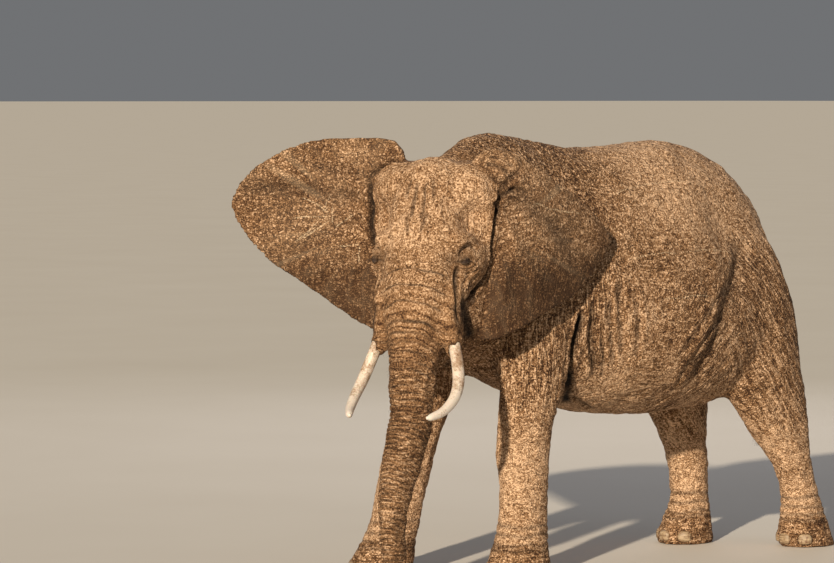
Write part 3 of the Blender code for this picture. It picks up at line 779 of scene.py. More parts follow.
def ringTrunk(hide, s):
    f, l, up = toHead(hide.points)
    gone = np.append(0, np.cumsum(np.linalg.norm(np.diff(trunkLine, axis=0), axis=1)))

    def onLine(values):
        return np.interp(-up, -trunkLine[:, 0], values)

    # how far down the trunk each point is, square to its middle line, and its angle round it
    here = onLine(gone)
    outF, outL = f - onLine(trunkLine[:, 1]), l - onLine(trunkLine[:, 2])
    for out, column in ((outF, 1), (outL, 2)):
        here = here + out * onLine(np.gradient(trunkLine[:, column], gone))
    angle = np.arctan2(outL, outF)
    places, step = list(s["firstRings"]), s["step"]
    while places[-1] < gone[-1] + 0.05:
        places.append(places[-1] + step)
        step = max(s["lastStep"], step * s["shrink"])
    places = np.array(places)
    arch = s["arch"] * (1 - 0.6 * ease(here, 0.4, 0.9))
    uneven = (clouds(hide.points, (0.12, 0.12, 0.10), 31, 2) - 0.5) * 0.035
    turned = here - arch * (1 - np.cos(angle)) + uneven
    hide.ring = np.interp(turned, places, np.arange(len(places)))
    gap = np.interp(turned, places, np.append(np.diff(places), s["lastStep"]))
    off = np.abs(hide.ring - np.round(hide.ring)) * gap
    front = ease(np.cos(angle), 0.15, 0.75)
    upper = 1 - ease(here, 0.38, 0.52)
    mask = np.clip(hide.zone["trunk"] * 1.2 + ease(up, 0.0, -0.06) * (f > -0.02)
                   * (hide.zone["head"] + hide.zone["trunk"]), 0, 1)
    mask = mask * (upper * front + (1 - upper) * (0.45 + 0.55 * ease(np.cos(angle), -0.5, 0.4)))
    broken = ease(cloud(hide.points, (0.09, 0.09, 0.05), 33), 0.3, 0.6)
    mask = mask * (hide.ring > 0) * (0.65 + 0.35 * broken)
    groove = bell(off, s["width"] / 1000)
    hide.rise += mask * (-s["depth"] * groove + s["swell"] * (1 - upper * 0.6)
                         * np.sqrt(np.clip(off / np.maximum(gap, 0.01) * 2, 0, 1))) / 1000
    # painted shade in the rings' grooves
    hide.stain = np.maximum(hide.stain, mask * groove * (0.62 + 0.22 * upper))
    hide.trunkness = np.clip(hide.zone["trunk"] * 1.2 + ease(up, -0.05, -0.3) * (f > 0)
                             * hide.zone["head"], 0, 1)


# depth in millimetres of the lines that run level, upright, in a net and aslant; and the creases
# round each ankle, by height (m) and depth (mm)
wrinkleSet = {
    "level": 4.8, "upright": 6.0, "net": 3.0, "slant": 5.5, "lean": 52, "backLean": -50,
    "ankles": ((0.165, 4.0), (0.20, 5.5), (0.245, 5.0), (0.30, 4.0)), "ankleDirt": 0.45,
}


def layWrinkles(hide, s):
    p, zone = hide.points, hide.zone
    x, y, z = p.T
    up = toHead(p)[2]
    ringTrunk(hide, trunkSet)
    # which way the lines run over each zone
    limb = np.clip(zone["leg"] + zone["foot"] + zone["torso"] * ease(z, 1.25, 0.95) * 0.6, 0, 1)
    flank = (zone["torso"] * ease(y, -0.1, 0.2) * ease(y, 1.0, 0.7)
             * ease(z, 2.15, 1.75) * ease(np.abs(hide.normals[:, 0]), 0.3, 0.7))
    hide.cross = np.clip(hide.trunkness * (0.2 + 0.65 * ease(up, -0.32, -0.62)) + limb * 0.75
                         + flank * 0.6, 0, 1)
    hide.hang = np.clip(zone["neck"] + zone["torso"] * ease(y, -0.05, -0.35)
                        + 0.5 * zone["head"] * ease(up, 0.0, 0.15) * (1 - hide.trunkness)
                        + zone["torso"] * ease(y, 0.35, 0.0) * 0.6
                        + zone["ear"] * (0.25 + 0.4 * ease(up, 0.1, -0.1)), 0, 1)
    hind = ease(y, 0.62, 0.85) * ease(z, 0.45, 0.8) * ease(z, 2.1, 1.75)
    hide.fan = np.clip(hind * (zone["torso"] + zone["leg"]) + 0.45 * zone["leg"] * (1 - hind), 0, 1)
    hide.slant = np.clip(zone["torso"] * ease(y, 0.2, 0.55) * ease(y, 1.0, 0.8)
                         * ease(z, 1.9, 1.5) + 0.35 * zone["leg"]
                         + 0.25 * hind * zone["torso"], 0, 1)
    hide.cross = hide.cross * (1 - 0.75 * np.maximum(hide.slant, hind))
    # a spin of the points for each way, the size of its wrinkles, their seed, depth and share
    ways = [(0, (0.16, 0.16, 0.036), 101, s["level"], hide.cross * (1 - hide.trunkness * 0.6)),
            (0, (0.040, 0.040, 0.24), 111, s["upright"], hide.hang),
            (0, (0.055, 0.055, 0.045), 141, s["net"],
             1 - zone["ear"] * 0.8 - hide.trunkness * 0.6),
            (s["lean"], (0.2, 0.22, 0.034), 121, s["slant"], hide.slant),
            (s["backLean"], (0.2, 0.22, 0.034), 122, s["slant"], hide.fan)]
    for lean, sizes, seed, depth, share in ways:
        c, n = cos(radians(lean)), sin(radians(lean))
        spun = np.stack([x, y * c + z * n, z * c - y * n], 1)
        hide.rise -= share * wrinkles(spun, sizes, seed, 2.5) * depth / 1000
    ankle = zone["foot"] + zone["leg"]
    for level, depth in s["ankles"]:
        off = z - (level + (cloud(p, (0.12, 0.12, 0.5), int(level * 1000)) - 0.5) * 0.03)
        hide.rise -= ankle * bell(off, 0.009) * depth / 1000
        # painted shade in the ankle creases
        hide.stain = np.maximum(hide.stain, ankle * bell(off, 0.011) * s["ankleDirt"])
    settle(hide)


layWrinkles(hide, wrinkleSet)
print("wrinkles laid")


# the tusk's middle line in head axes, and its radius
tuskPath = (
    (0.020, 0.195, -0.330, 0.033), (0.050, 0.216, -0.430, 0.033), (0.085, 0.250, -0.540, 0.0325),
    (0.135, 0.276, -0.640, 0.032), (0.220, 0.285, -0.720, 0.029), (0.330, 0.268, -0.780, 0.025),
    (0.420, 0.235, -0.805, 0.019), (0.447, 0.222, -0.808, 0.009))

# in metres: the ball's radius, half the slit's length, how far each lid opens, its thickness, the
# gap between creases, their depth, and the cornea's swell; in degrees, how far the slit's front
# end dips; from 0 to 1, the painted shade held, with the lid edge's own dark; and the ball's net
eyeSet = {
    "radius": 0.0235, "slit": 0.0195, "upper": 0.0064, "lower": 0.0048, "lid": 0.0038,
    "creaseStep": 0.0105, "creaseDepth": 0.0040, "corneaRadius": 0.0115, "corneaSwell": 0.0014,
    "dip": -14, "socketDirt": 0.56, "lidDirt": 0.85, "slitDirt": 0.88, "creaseDirt": 0.45,
    "calm": 0.9, "rings": 26, "sides": 40,
}
gaze = {side: unit(forward * 0.46 + leftward * 0.88 * side - np.array((0, 0, 0.12)))
        for side in (1, -1)}


def eyeAxes(side):
    # outwards, along the slit towards the trunk, and up
    out = gaze[side]
    top = unit(np.array((0, 0, 1.0)) - out * out[2])
    ahead = np.cross(top, out) * -side
    tilt = radians(eyeSet["dip"])
    return out, ahead * cos(tilt) + top * sin(tilt), top * cos(tilt) - ahead * sin(tilt)


def openLids(hide, s):
    for side, centre in ((1, eyeLeft), (-1, eyeRight)):
        out, ahead, top = eyeAxes(side)
        # painted shade over the socket, a hollow that runs up to the brow and forward to the trunk
        near = np.flatnonzero(np.linalg.norm(hide.points - centre, axis=1) < 0.20)
        away = hide.points[near] - centre
        socketShadow = bell(away @ ahead - 0.02, 0.085) * bell(away @ top - 0.022, 0.045)
        hide.stain[near] = np.maximum(hide.stain[near], s["socketDirt"] * socketShadow)
        near = near[np.linalg.norm(away, axis=1) < 0.12]
        away = hide.points[near] - centre
        x, y, z = away @ ahead, away @ top, away @ out
        arch = np.clip(1 - (x / s["slit"]) ** 2, -3, 1)
        edge = np.where(y > 0, y - s["upper"] * arch, -s["lower"] * arch - y)
        edge = np.maximum(edge, np.abs(x) - s["slit"])
        lid = ease(edge, -0.0015, 0.0012)
        reach = np.hypot(x, y)
        # inside the slit the hide drops behind the ball; outside it lies the lid, rimmed and folded
        wanted = s["radius"] - 0.006 + lid * (0.006 + s["lid"]) + 0.0012 * bell(edge - 0.004, 0.003)
        wanted -= 0.003 * bell(y - 0.0155, 0.0035) * (np.abs(x) < 0.03)
        wanted -= 0.0025 * bell(y + 0.015, 0.004) * (np.abs(x) < 0.028)
        length = np.linalg.norm(away, axis=1)
        share = (1 - ease(reach, 0.020, 0.034)) * (z > -0.004)
        fresh = centre + away / np.maximum(length, 1e-6)[:, None] * wanted[:, None]
        hide.points[near] += (fresh - hide.points[near]) * share[:, None]
        # uneven creases ring the lids
        wander = 2.5 * cloud(hide.points[near], (0.03, 0.03, 0.03), 7)
        band = ease(reach, 0.026, 0.034) * (1 - ease(reach, 0.055, 0.095))
        band = band * np.clip(np.sin(reach * 2 * pi / s["creaseStep"] + wander), 0, 1)
        hide.points[near] -= hide.normals[near] * (band * s["creaseDepth"])[:, None]
        rim = (1 - ease(edge, 0.002, 0.016)) * (z > -0.01) * (reach < 0.05)
        slit = bell(x - 0.012, 0.062) * bell(y - 0.004, 0.015)
        # painted shade along the lid's edge (with the lid's own dark rim), in the slit under the
        # upper lid, and in the creases
        for mark, share in ((rim, s["lidDirt"]), (slit, s["slitDirt"]), (band, s["creaseDirt"])):
            hide.stain[near] = np.maximum(hide.stain[near], mark * share)
        calm = s["calm"] * (1 - ease(reach, 0.040, 0.080))
        hide.calm[near] = np.maximum(hide.calm[near], calm)
    readNormals(hide)


# in metres: the gap round the ivory, how far off the hide is still drawn in, the collar's height;
# and the painted shade in the lip
sheathSet = {"gap": 0.0015, "pull": 0.035, "collar": 0.008, "lipDirt": 0.7}


def hugTusks(hide, s):
    # the lip where each tusk leaves its sheath is evened out, then pressed close round the ivory
    for side in (1, -1):
        path = flowing([(*fromHead(f, l * side, up), r) for f, l, up, r in tuskPath], 0.006)
        mouth = fromHead(0.072, 0.238 * side, -0.515)
        away = np.linalg.norm(hide.points - mouth, axis=1)
        near = np.flatnonzero(away < 0.16)
        share = 1 - ease(away, 0.09, 0.15)
        for _ in range(8):
            move = (neighbours(hide, hide.points) - hide.points) * 0.5
            hide.points = hide.points + move * share[:, None]
        gap = np.linalg.norm(hide.points[near][:, None] - path[None, :, :3], axis=2)
        nearest = gap.argmin(1)
        out = hide.points[near] - path[nearest, :3]
        far, radius = np.linalg.norm(out, axis=1), path[nearest, 3]
        off = far - radius
        wanted = radius + s["gap"] + np.maximum(off - s["gap"], 0) * ease(off, 0.0, s["pull"])
        share = ease(nearest * 1.0, 4, 9)
        hide.points[near] += unit(out) * ((wanted - far) * share)[:, None]
        share = share * (1 - ease(away[near], 0.07, 0.13))
        collar = bell(off - 0.016, 0.012) * share
        hide.points[near] += hide.normals[near] * (collar * s["collar"])[:, None]
        lipLine = bell(off - 0.002, 0.006) * share
        # painted shade where the lip meets the ivory
        hide.stain[near] = np.maximum(hide.stain[near], s["lipDirt"] * lipLine)
    readNormals(hide)


# in metres: half the nail's width, its thickness and half its height, how far the hide sinks under
# it and swells round it, and the growth ridges
nailSet = {
    "across": 0.043, "out": 0.022, "tall": 0.036,
    "sink": 0.007, "cuticle": 0.0045, "rimDirt": 0.6, "ridgeStep": 0.0075, "ridge": 0.0005,
    "rings": 20, "sides": 32, "flatFrom": 0.6, "flatness": 0.45,
}
nailNames = sorted(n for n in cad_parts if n.startswith("nail"))


def nailAxes(nail):
    # the nail's middle, the way along its foot's rim, and the way out of the foot
    words = nail.split("_")
    foot = middle(("forefoot_" if words[1] == "foreleg" else "hind_foot_") + words[2])
    centre = middle(nail)
    out = unit((centre - foot) * (1, 1, 0))
    return centre, np.array((-out[1], out[0], 0.0)), out


def bedNails(hide, s):
    # the hide sinks under each nail and swells into a cuticle round it
    for nail in nailNames:
        centre, along, out = nailAxes(nail)
        near = np.flatnonzero(np.linalg.norm(hide.points - centre, axis=1) < 0.085)
        away = hide.points[near] - centre
        reach = np.hypot(away @ along / s["across"], away[:, 2] / s["tall"])
        front = (away @ out) > -0.012
        under = (1 - ease(reach, 0.72, 0.98)) * front
        cuticle = bell(reach - 1.12, 0.13) * front * ease(away[:, 2], -0.03, -0.01)
        hide.points[near] += out * (cuticle * s["cuticle"] - under * s["sink"])[:, None]
        # painted shade round the nail's rim
        rim = s["rimDirt"] * bell(reach - 0.98, 0.07) * front
        hide.stain[near] = np.maximum(hide.stain[near], rim)
    readNormals(hide)


openLids(hide, eyeSet)
hugTusks(hide, sheathSet)
bedNails(hide, nailSet)
print("lids opened, nails bedded")


hideLook = {
    "dark": "#3a2313", "mid": "#8c6846", "light": "#e5bf9a",
    # foldDirt is the near-black laid as painted shade in creases and hollows
    "earTone": "#6f5036", "paleMark": "#ecd2ae", "foldDirt": "#1d1611",
    # sizes in metres; the finest are drawn a little coarse so that they show
    "grain": 0.0090, "cell": 0.0150, "plate": 0.046, "patch": 0.060, "blotch": 0.30,
    # how far each part of the pattern stands up, in metres
    "relief": {"base": 0.0, "grain": 0.0048, "cell": 0.0034, "patch": 0.012, "crack": -0.0026,
               "groove": -0.0048},
    # and how much paler with dust it is: high grain is pale, cracks and creases are dark
    "paleness": {"base": -0.56, "grain": 1.15, "cell": 0.56, "patch": 0.46, "blotch": 0.42,
                 "crack": -0.28, "groove": -0.42, "dust": 0.17, "ear": -0.14, "calm": -0.20,
                 "cross": 0.13, "hang": 0.14, "slant": 0.13, "fan": 0.13},
    # the paleness at which the dark, the mid and the light tone are reached
    "steps": (0.18, 0.56, 1.02),
    # creases: the way they run, their size along x, y and z (m), and their lean in degrees
    "creases": (("cross", (0.15, 0.15, 0.0165), 0), ("hang", (0.019, 0.019, 0.17), 0),
                ("slant", (0.18, 0.20, 0.0185), 52), ("fan", (0.18, 0.20, 0.0185), -50)),
    # layers over it all, with how strongly each shows; the last is the painted shade of creases and
    # hollows
    "layers": (("ear", 0.12, "earTone"), ("pale", 1.0, "paleMark"), ("scar", 0.80, "paleMark"),
               ("stain", 1.0, "foldDirt")),
    "lowEarShade": 0.66, "scratchWidth": 0.0012, "scratchFade": 0.0050,
}

# the hide's fields, three to a stored triple
fieldNames = {
    "marks": ("stain", "pale", "dust"), "lay": ("cross", "hang", "slant"),
    "zones": ("trunk", "ear", "fan"), "scar": ("scarOff", "scarShow", "calm"),
}


def driedMudHide(look):
    # mud dried on thick skin: a matt, pale crust on the high grain, dark hide in the cracks
    material, tree, shader = newMaterial("elephantHideDriedMud", {
        "Roughness": 0.88, "IOR": 1.45, "Specular IOR Level": 0.28})
    spot = place(tree, "TexCoord", out="Object")
    stir = place(tree, "TexNoise", {"Vector": spot, "Scale": 14.0, "Detail": 3.0}, out=1)
    stir = place(tree, "VectorMath", {0: stir, 1: (0.5, 0.5, 0.5)}, operation="SUBTRACT")
    warped, swept = (place(tree, "VectorMath", {0: stir, 1: (far, far, far), 2: spot},
                           operation="MULTIPLY_ADD") for far in (0.05, 0.024))
    parts = {}
    for name, channels in fieldNames.items():
        triple = place(tree, "Attribute", attribute_name=name, out=1)
        for k, channel in enumerate(channels):
            parts[channel] = place(tree, "SeparateXYZ", {0: triple}, out=k)
    ring = place(tree, "Attribute", attribute_name="ring", out=2)

    # clouds of tone from the grain of the mud up to hand-wide blotches
    for size, detail in (("grain", 1.0), ("patch", 3.0), ("blotch", 3.0)):
        parts[size] = place(tree, "TexNoise", {"Vector": spot, "Scale": 1 / look[size],
                                               "Detail": detail, "Roughness": 0.6})

    # cracked plates of hide at two sizes, which fade out where the hide is calm
    flat = place(tree, "Mapping", {0: warped, 3: (1.0, 1.0, 1.35)})
    cell = place(tree, "TexVoronoi", {"Vector": flat, "Scale": 1 / look["cell"]}, out=1)
    cracks = []
    for where, size, start, end in ((flat, "cell", 0.02, 0.20), (warped, "plate", 0.01, 0.10)):
        edge = place(tree, "TexVoronoi", {"Vector": where, "Scale": 1 / look[size]},
                     feature="DISTANCE_TO_EDGE")
        cracks.append(place(tree, "MapRange", {0: edge, 1: start, 2: end, 3: 1.0, 4: 0.0}))
    broken = place(tree, "MapRange", {0: parts["patch"], 1: 0.38, 2: 0.62})
    plateCrack = place(tree, "Math", {0: cracks[1], 1: broken}, operation="MULTIPLY")
    parts["cell"], parts["crack"], plateCrack = (
        place(tree, "Mix", {0: parts["calm"], 2: wild, 3: still})
        for wild, still in ((cell, 0.5), (cracks[0], 0.15), (plateCrack, 0.0)))

    # creases that run level, upright or aslant, as the hide's lay says, and the trunk's rings
    grooves = place(tree, "Math", {0: plateCrack, 1: 0.75}, operation="MULTIPLY")
    for way, sizes, lean in look["creases"]:
        turned = place(tree, "Mapping", {0: swept, 2: (radians(lean), 0.0, 0.0), 3: sizes},
                       vector_type="TEXTURE")
        noise = place(tree, "TexNoise", {"Vector": turned, "Scale": 1.0, "Detail": 1.0})
        off = place(tree, "Math", {0: noise, 1: 2.0, 2: -1.0}, operation="MULTIPLY_ADD")
        off = place(tree, "Math", {0: off}, operation="ABSOLUTE")
        line = place(tree, "MapRange", {0: off, 1: 0.02, 2: 0.34, 3: 1.0, 4: 0.0})
        line = place(tree, "Math", {0: line, 1: parts[way]}, operation="MULTIPLY")
        grooves = place(tree, "Math", {0: grooves, 1: line}, operation="MAXIMUM")
    ringWarp = place(tree, "Math", {0: parts["patch"], 1: 0.8, 2: ring}, operation="MULTIPLY_ADD")
    ringTurn = place(tree, "Math", {0: ringWarp, 1: 0.5}, operation="PINGPONG")
    rings = place(tree, "MapRange", {0: ringTurn, 1: 0.02, 2: 0.14, 3: 0.8, 4: 0.0})
    rings = place(tree, "Math", {0: rings, 1: parts["trunk"]}, operation="MULTIPLY")
    parts["groove"] = place(tree, "Math", {0: grooves, 1: rings}, operation="MAXIMUM")

    # the height and the paleness are weighted sums of the parts
    sums = []
    for weights in (dict(look["relief"]), dict(look["paleness"])):
        total = weights.pop("base")
        for name, share in weights.items():
            total = place(tree, "Math", {0: parts[name], 1: share, 2: total},
                          operation="MULTIPLY_ADD")
        sums.append(total)
    bump = place(tree, "Bump", {"Strength": 1.0, "Distance": 1.0, "Height": sums[0]})
    tree.links.new(bump, shader.inputs["Normal"])
    tone = linear(look["dark"])
    for start, end, colour in zip(look["steps"], look["steps"][1:], ("mid", "light")):
        amount = place(tree, "MapRange", {0: sums[1], 1: start, 2: end})
        tone = place(tree, "Mix", {0: amount, 6: tone, 7: linear(look[colour])},
                     out=2, data_type="RGBA")

    # the lower half of each ear is darker
    shade = place(tree, "MapRange", {0: parts["ear"], 1: 1.0, 2: 2.2, 3: 1.0,
                                     4: look["lowEarShade"]})
    tone = place(tree, "Mix", {0: 1.0, 6: tone, 7: shade}, out=2, data_type="RGBA",
                 blend_type="MULTIPLY")

    # a scratch is a thin broken line, wandering a little with the grain
    wander = place(tree, "Math", {0: parts["patch"], 1: 0.012, 2: -0.006}, operation="MULTIPLY_ADD")
    scar = place(tree, "Math", {0: parts["scarOff"], 1: wander}, operation="ADD")
    scar = place(tree, "Math", {0: scar}, operation="ABSOLUTE")
    scar = place(tree, "MapRange", {0: scar, 1: look["scratchWidth"], 2: look["scratchFade"],
                                    3: 1.0, 4: 0.0})
    broken = place(tree, "MapRange", {0: parts["grain"], 1: 0.36, 2: 0.60})
    for share in (broken, parts["scarShow"]):
        scar = place(tree, "Math", {0: scar, 1: share}, operation="MULTIPLY")
    parts["scar"] = scar

    # the last layer paints shade into creases and hollows
    for name, share, colour in look["layers"]:
        amount = place(tree, "Math", {0: parts[name], 1: share}, operation="MULTIPLY")
        tone = place(tree, "Mix", {0: amount, 6: tone, 7: linear(look[colour])},
                     out=2, data_type="RGBA")
    tree.links.new(tone, shader.inputs["Base Color"])
    return material


def dustOn(hide):
    # where dust lies thickest: the back, the rump, the brow, low on the flank, the legs and ears
    zone, y, z = hide.zone, hide.points[:, 1], hide.points[:, 2]
    f, l, up = toHead(hide.points)
    leftEar, rightEar = zone["ear"] * (l > 0), zone["ear"] * (l < 0)
    dust = (leftEar * (1.2 * ease(up, 0.40, 0.52) + 0.6 * ease(up, -0.15, 0.15))
            + 0.4 * rightEar + 0.3 * hide.trunkness
            + zone["torso"] * ease(y, 0.6, 1.0) * ease(z, 1.5, 1.9)
            + 0.35 * zone["torso"] * ease(z, 1.35, 1.05)
            + ease(up, -0.15, 0.2) * zone["head"] * (f > -0.2)
            + 0.9 * zone["leg"] * ease(z, 1.0, 0.6)
            + zone["torso"] * (ease(z, 1.7, 2.2) * ease(y, -0.1, 0.4)
                               + 0.7 * bell(y + 0.05, 0.35) * ease(z, 1.6, 1.4)))
    return np.clip(dust, 0, 1)


def finishHide(hide, look):
    p = hide.points
    p[:, 2] = np.maximum(p[:, 2], 0.0)
    mesh = newMesh("hide", p, hide.quads.tolist() + [list(map(int, e)) for e in hide.extras])
    # painted shade in hollows: the deeper a point sits below its neighbours, the darker
    hollow = blurred(hide, ((neighbours(hide, p) - p) * hide.normals).sum(1), 2)
    fields = {
        "stain": np.maximum(hide.stain, np.clip(hollow * 900 - 0.25, 0, 0.55)), "pale": hide.pale,
        "dust": dustOn(hide), "cross": hide.cross, "hang": hide.hang, "slant": hide.slant,
        "fan": hide.fan, "trunk": hide.trunkness,
        "ear": hide.zone["ear"] * (1 + 1.2 * ease(toHead(p)[2], 0.10, -0.22)),
        "scarOff": hide.scarOff, "scarShow": hide.scarShow,
        "calm": np.maximum(hide.calm, 0.45 * hide.trunkness + 0.22 * hide.zone["head"]),
    }
    for name, channels in fieldNames.items():
        writeField(mesh, name, np.stack([fields[channel] for channel in channels], 1))
    writeField(mesh, "ring", hide.ring)
    skin = addPiece("hide", mesh, driedMudHide(look), "skin", *fleshNodes)
    bpy.context.view_layer.objects.active = skin
    skin.select_set(True)
    bpy.ops.object.mode_set(mode="EDIT")
    bpy.ops.mesh.select_all(action="SELECT")
    bpy.ops.uv.smart_project(angle_limit=radians(70), island_margin=0.001)
    bpy.ops.object.mode_set(mode="OBJECT")
    mesh.uv_layers[0].name = "OFBake"
    return skin


# pale scratches on the flanks, and on the ears in head axes
bodyScratches = (
    ((0.330, 0.006, 2.114), (0.319, 0.155, 2.151), (0.312, 0.318, 2.182), (0.313, 0.514, 2.191),
     (0.310, 0.702, 2.182)),
    ((0.492, 0.023, 1.764), (0.500, 0.139, 1.784), (0.510, 0.262, 1.798), (0.518, 0.411, 1.794)),
    ((0.518, 0.411, 1.794), (0.511, 0.560, 1.806), (0.480, 0.751, 1.800), (0.446, 0.931, 1.777)),
    ((0.564, 0.194, 1.537), (0.577, 0.338, 1.544), (0.578, 0.463, 1.551), (0.570, 0.606, 1.545)),
)
earScratches = (
    ((-0.237, -0.634, 0.355), (-0.227, -0.648, 0.295), (-0.217, -0.656, 0.245)),
    ((-0.222, -0.604, 0.284), (-0.211, -0.599, 0.230), (-0.204, -0.596, 0.175)),
    ((-0.210, -0.682, 0.201), (-0.200, -0.744, 0.140), (-0.189, -0.824, 0.079)),
    ((-0.210, -0.467, 0.242), (-0.206, -0.525, 0.203), (-0.202, -0.589, 0.159)),
    ((-0.213, -0.618, 0.235), (-0.227, -0.696, 0.283), (-0.228, -0.805, 0.331)),
    ((-0.211, -0.617, 0.224), (-0.215, -0.727, 0.222), (-0.213, -0.847, 0.210)),
    ((-0.208, -0.615, 0.202), (-0.201, -0.703, 0.146), (-0.191, -0.789, 0.090)),
    ((-0.200, -0.571, 0.060), (-0.204, -0.506, 0.061), (-0.208, -0.443, 0.073)),
    ((-0.209, -0.443, 0.067), (-0.217, -0.447, 0.018), (-0.225, -0.450, -0.032)),
    ((-0.325, 0.517, 0.305), (-0.480, 0.628, 0.266), (-0.726, 0.698, 0.241)),
)


def markScratches(hide):
    for line in bodyScratches:
        scratch(hide, line, 0.7)
        scratch(hide, otherSide(line), 0.6)
    for line in earScratches:
        scratch(hide, headLine(line), 0.9)


markScratches(hide)
skin = finishHide(hide, hideLook)
print("hide finished,", len(skin.data.polygons), "faces")


def hornNail(look):
    # keratin grown in layers and ground down by walking: dull, banded, patched with mud
    material, tree, shader = newMaterial("nailKeratinWorn", {"Roughness": 0.55, "IOR": 1.54})
    spot = place(tree, "TexCoord", out="Object")
    bands = place(tree, "Mapping", {0: spot, 3: (14.0, 14.0, 170.0)})
    band = place(tree, "TexNoise", {"Vector": bands, "Scale": 1.0, "Detail": 3.0})
    patch = place(tree, "TexNoise", {"Vector": spot, "Scale": 60.0, "Detail": 3.0})
    factor = place(tree, "MapRange", {0: band, 1: 0.35, 2: 0.65})
    tone = place(tree, "Mix", {0: factor, 6: linear(look["dark"]), 7: linear(look["pale"])},
                 out=2, data_type="RGBA")
    factor = place(tree, "MapRange", {0: patch, 1: 0.52, 2: 0.68})
    tone = place(tree, "Mix", {0: factor, 6: tone, 7: linear(look["mud"])}, out=2, data_type="RGBA")
    tree.links.new(tone, shader.inputs["Base Color"])
    bump = place(tree, "Bump", {"Strength": 0.8, "Distance": 0.002, "Height": band})
    tree.links.new(bump, shader.inputs["Normal"])
    return material


nailLook = {"pale": "#b39c7c", "dark": "#7a6247", "mud": "#6b4a31"}


def signedPower(v, k):
    return np.sign(v) * np.abs(v) ** k


def makeNail(name, material, s):
    centre, along, out = nailAxes(name)
    rings, sides = s["rings"], s["sides"]
    polar, turn = np.meshgrid(np.linspace(0, pi, rings + 1)[1:-1],
                              np.linspace(0, 2 * pi, sides, endpoint=False), indexing="ij")
    tall = signedPower(np.cos(polar), 0.8) * s["tall"]
    # the lower edge is worn flat
    worn = -s["flatFrom"] * s["tall"]
    tall = np.where(tall < worn, worn + (tall - worn) * s["flatness"], tall)
    across = signedPower(np.sin(polar), 0.75) * signedPower(np.sin(turn), 0.9) * s["across"] * 0.97
    front = signedPower(np.sin(polar), 0.8) * np.cos(turn) * s["out"]
    front = front + s["ridge"] * np.sin(tall * 2 * pi / s["ridgeStep"]) * (front > 0)
    body = centre + (across[..., None] * along + front[..., None] * out
                     + tall[..., None] * np.array((0, 0, 1.0)))
    ends = [centre + (0, 0, s["tall"]), centre - (0, 0, s["tall"] * 0.78)]
    points = np.vstack([body.reshape(-1, 3), ends])
    last = (rings - 2) * sides
    top, bottom = len(points) - 2, len(points) - 1
    faces = ringQuads(rings - 1, sides) + [(top, j, (j + 1) % sides) for j in range(sides)]
    faces += [(bottom, last + (j + 1) % sides, last + j) for j in range(sides)]
    addPiece("horn_" + name, newMesh(name, points, faces), material, "horn", name)


horn = hornNail(nailLook)
for name in nailNames:
    makeNail(name, horn, nailSet)
print("nails made,", len(nailNames))


skinPoints = np.empty(len(skin.data.vertices) * 3)
skin.data.vertices.foreach_get("co", skinPoints)
skinPoints = skinPoints.reshape(-1, 3)


def skinMap():
    # one place on the unwrap for every point of the hide
    loops = np.empty(len(skin.data.loops), np.int64)
    skin.data.loops.foreach_get("vertex_index", loops)
    spots = np.empty(len(loops) * 2)
    skin.data.uv_layers["OFBake"].data.foreach_get("uv", spots)
    out = np.zeros((len(skinPoints), 2))
    out[loops] = spots.reshape(-1, 2)
    return out


skinPlaces = skinMap()


def blackHair(look):
    # coarse keratin hair, round and wiry: nearly black with a dull gloss along it
    material, tree, shader = newMaterial("hairKeratinCoarse", {"Roughness": 0.42, "IOR": 1.55})
    spot = place(tree, "TexCoord", out="Object")
    noise = place(tree, "TexNoise", {"Vector": spot, "Scale": 90.0, "Detail": 2.0})
    tone = place(tree, "Mix", {0: noise, 6: linear(look["dark"]), 7: linear(look["dusty"])},
                 out=2, data_type="RGBA")
    tree.links.new(tone, shader.inputs["Base Color"])
    return material


hair = blackHair({"dark": "#17110d", "dusty": "#4a3828"})


def growStrands(name, roots, ways, bends, lengths, radius, segments, *gone):
    # tapered three-sided strands: each sets off along its way and turns towards its bend
    count = len(roots)
    t = np.linspace(0, 1, segments + 1)[None, :, None]
    spine = (roots[:, None] + lengths[:, None, None] * (ways[:, None] * (t - 0.5 * t ** 2)
                                                         + bends[:, None] * 0.5 * t ** 2))
    side = unit(np.cross(ways, bends + np.array((0.013, 0.021, 0.017))))
    other = unit(np.cross(ways, side))
    thick = np.asarray(radius).reshape(-1, 1, 1) * (1 - 0.88 * t)
    ring = [spine + thick * (side[:, None] * cos(a) + other[:, None] * sin(a))
            for a in (0, 2 * pi / 3, 4 * pi / 3)]
    points = np.stack(ring, 2).reshape(-1, 3)
    faces, base = [], (segments + 1) * 3
    for k in range(segments):
        for j in range(3):
            faces.append((k * 3 + j, k * 3 + (j + 1) % 3, k * 3 + 3 + (j + 1) % 3, k * 3 + 3 + j))
    faces = (np.array(faces)[None] + np.arange(count)[:, None, None] * base).reshape(-1, 4)
    caps = np.array([(2, 1, 0), (base - 3, base - 2, base - 1)])
    caps = (caps[None] + np.arange(count)[:, None, None] * base).reshape(-1, 3)
    mesh = newMesh(name, points, faces.tolist() + caps.tolist())
    tree = KDTree(len(skinPoints[::3]))
    for k, p in enumerate(skinPoints[::3]):
        tree.insert(p, k)
    tree.balance()
    patch = np.array([skinPlaces[tree.find(r)[1] * 3] for r in roots])
    level, corner = np.divmod(np.arange(base), 3)
    small = np.stack([corner / 2, level / segments], 1) * 0.003
    places = (patch[:, None] + small[None]).reshape(-1, 2)
    loops = np.empty(len(mesh.loops), np.int64)
    mesh.loops.foreach_get("vertex_index", loops)
    layer = mesh.uv_layers.new(name="OFBake")
    layer.data.foreach_set("uv", places[loops].ravel())
    addPiece(name, mesh, hair, "tail_hair", *gone)


# how many of each, with lengths and radii in metres
hairSet = {
    "tuftStrands": 340, "tuftLength": (0.16, 0.36), "tuftRadius": (0.0013, 0.0021),
    "lashes": 26, "lashLength": (0.024, 0.040), "lashRadius": 0.0006,
    "bristles": 2600, "bristleLength": (0.012, 0.030), "bristleRadius": 0.00045,
}


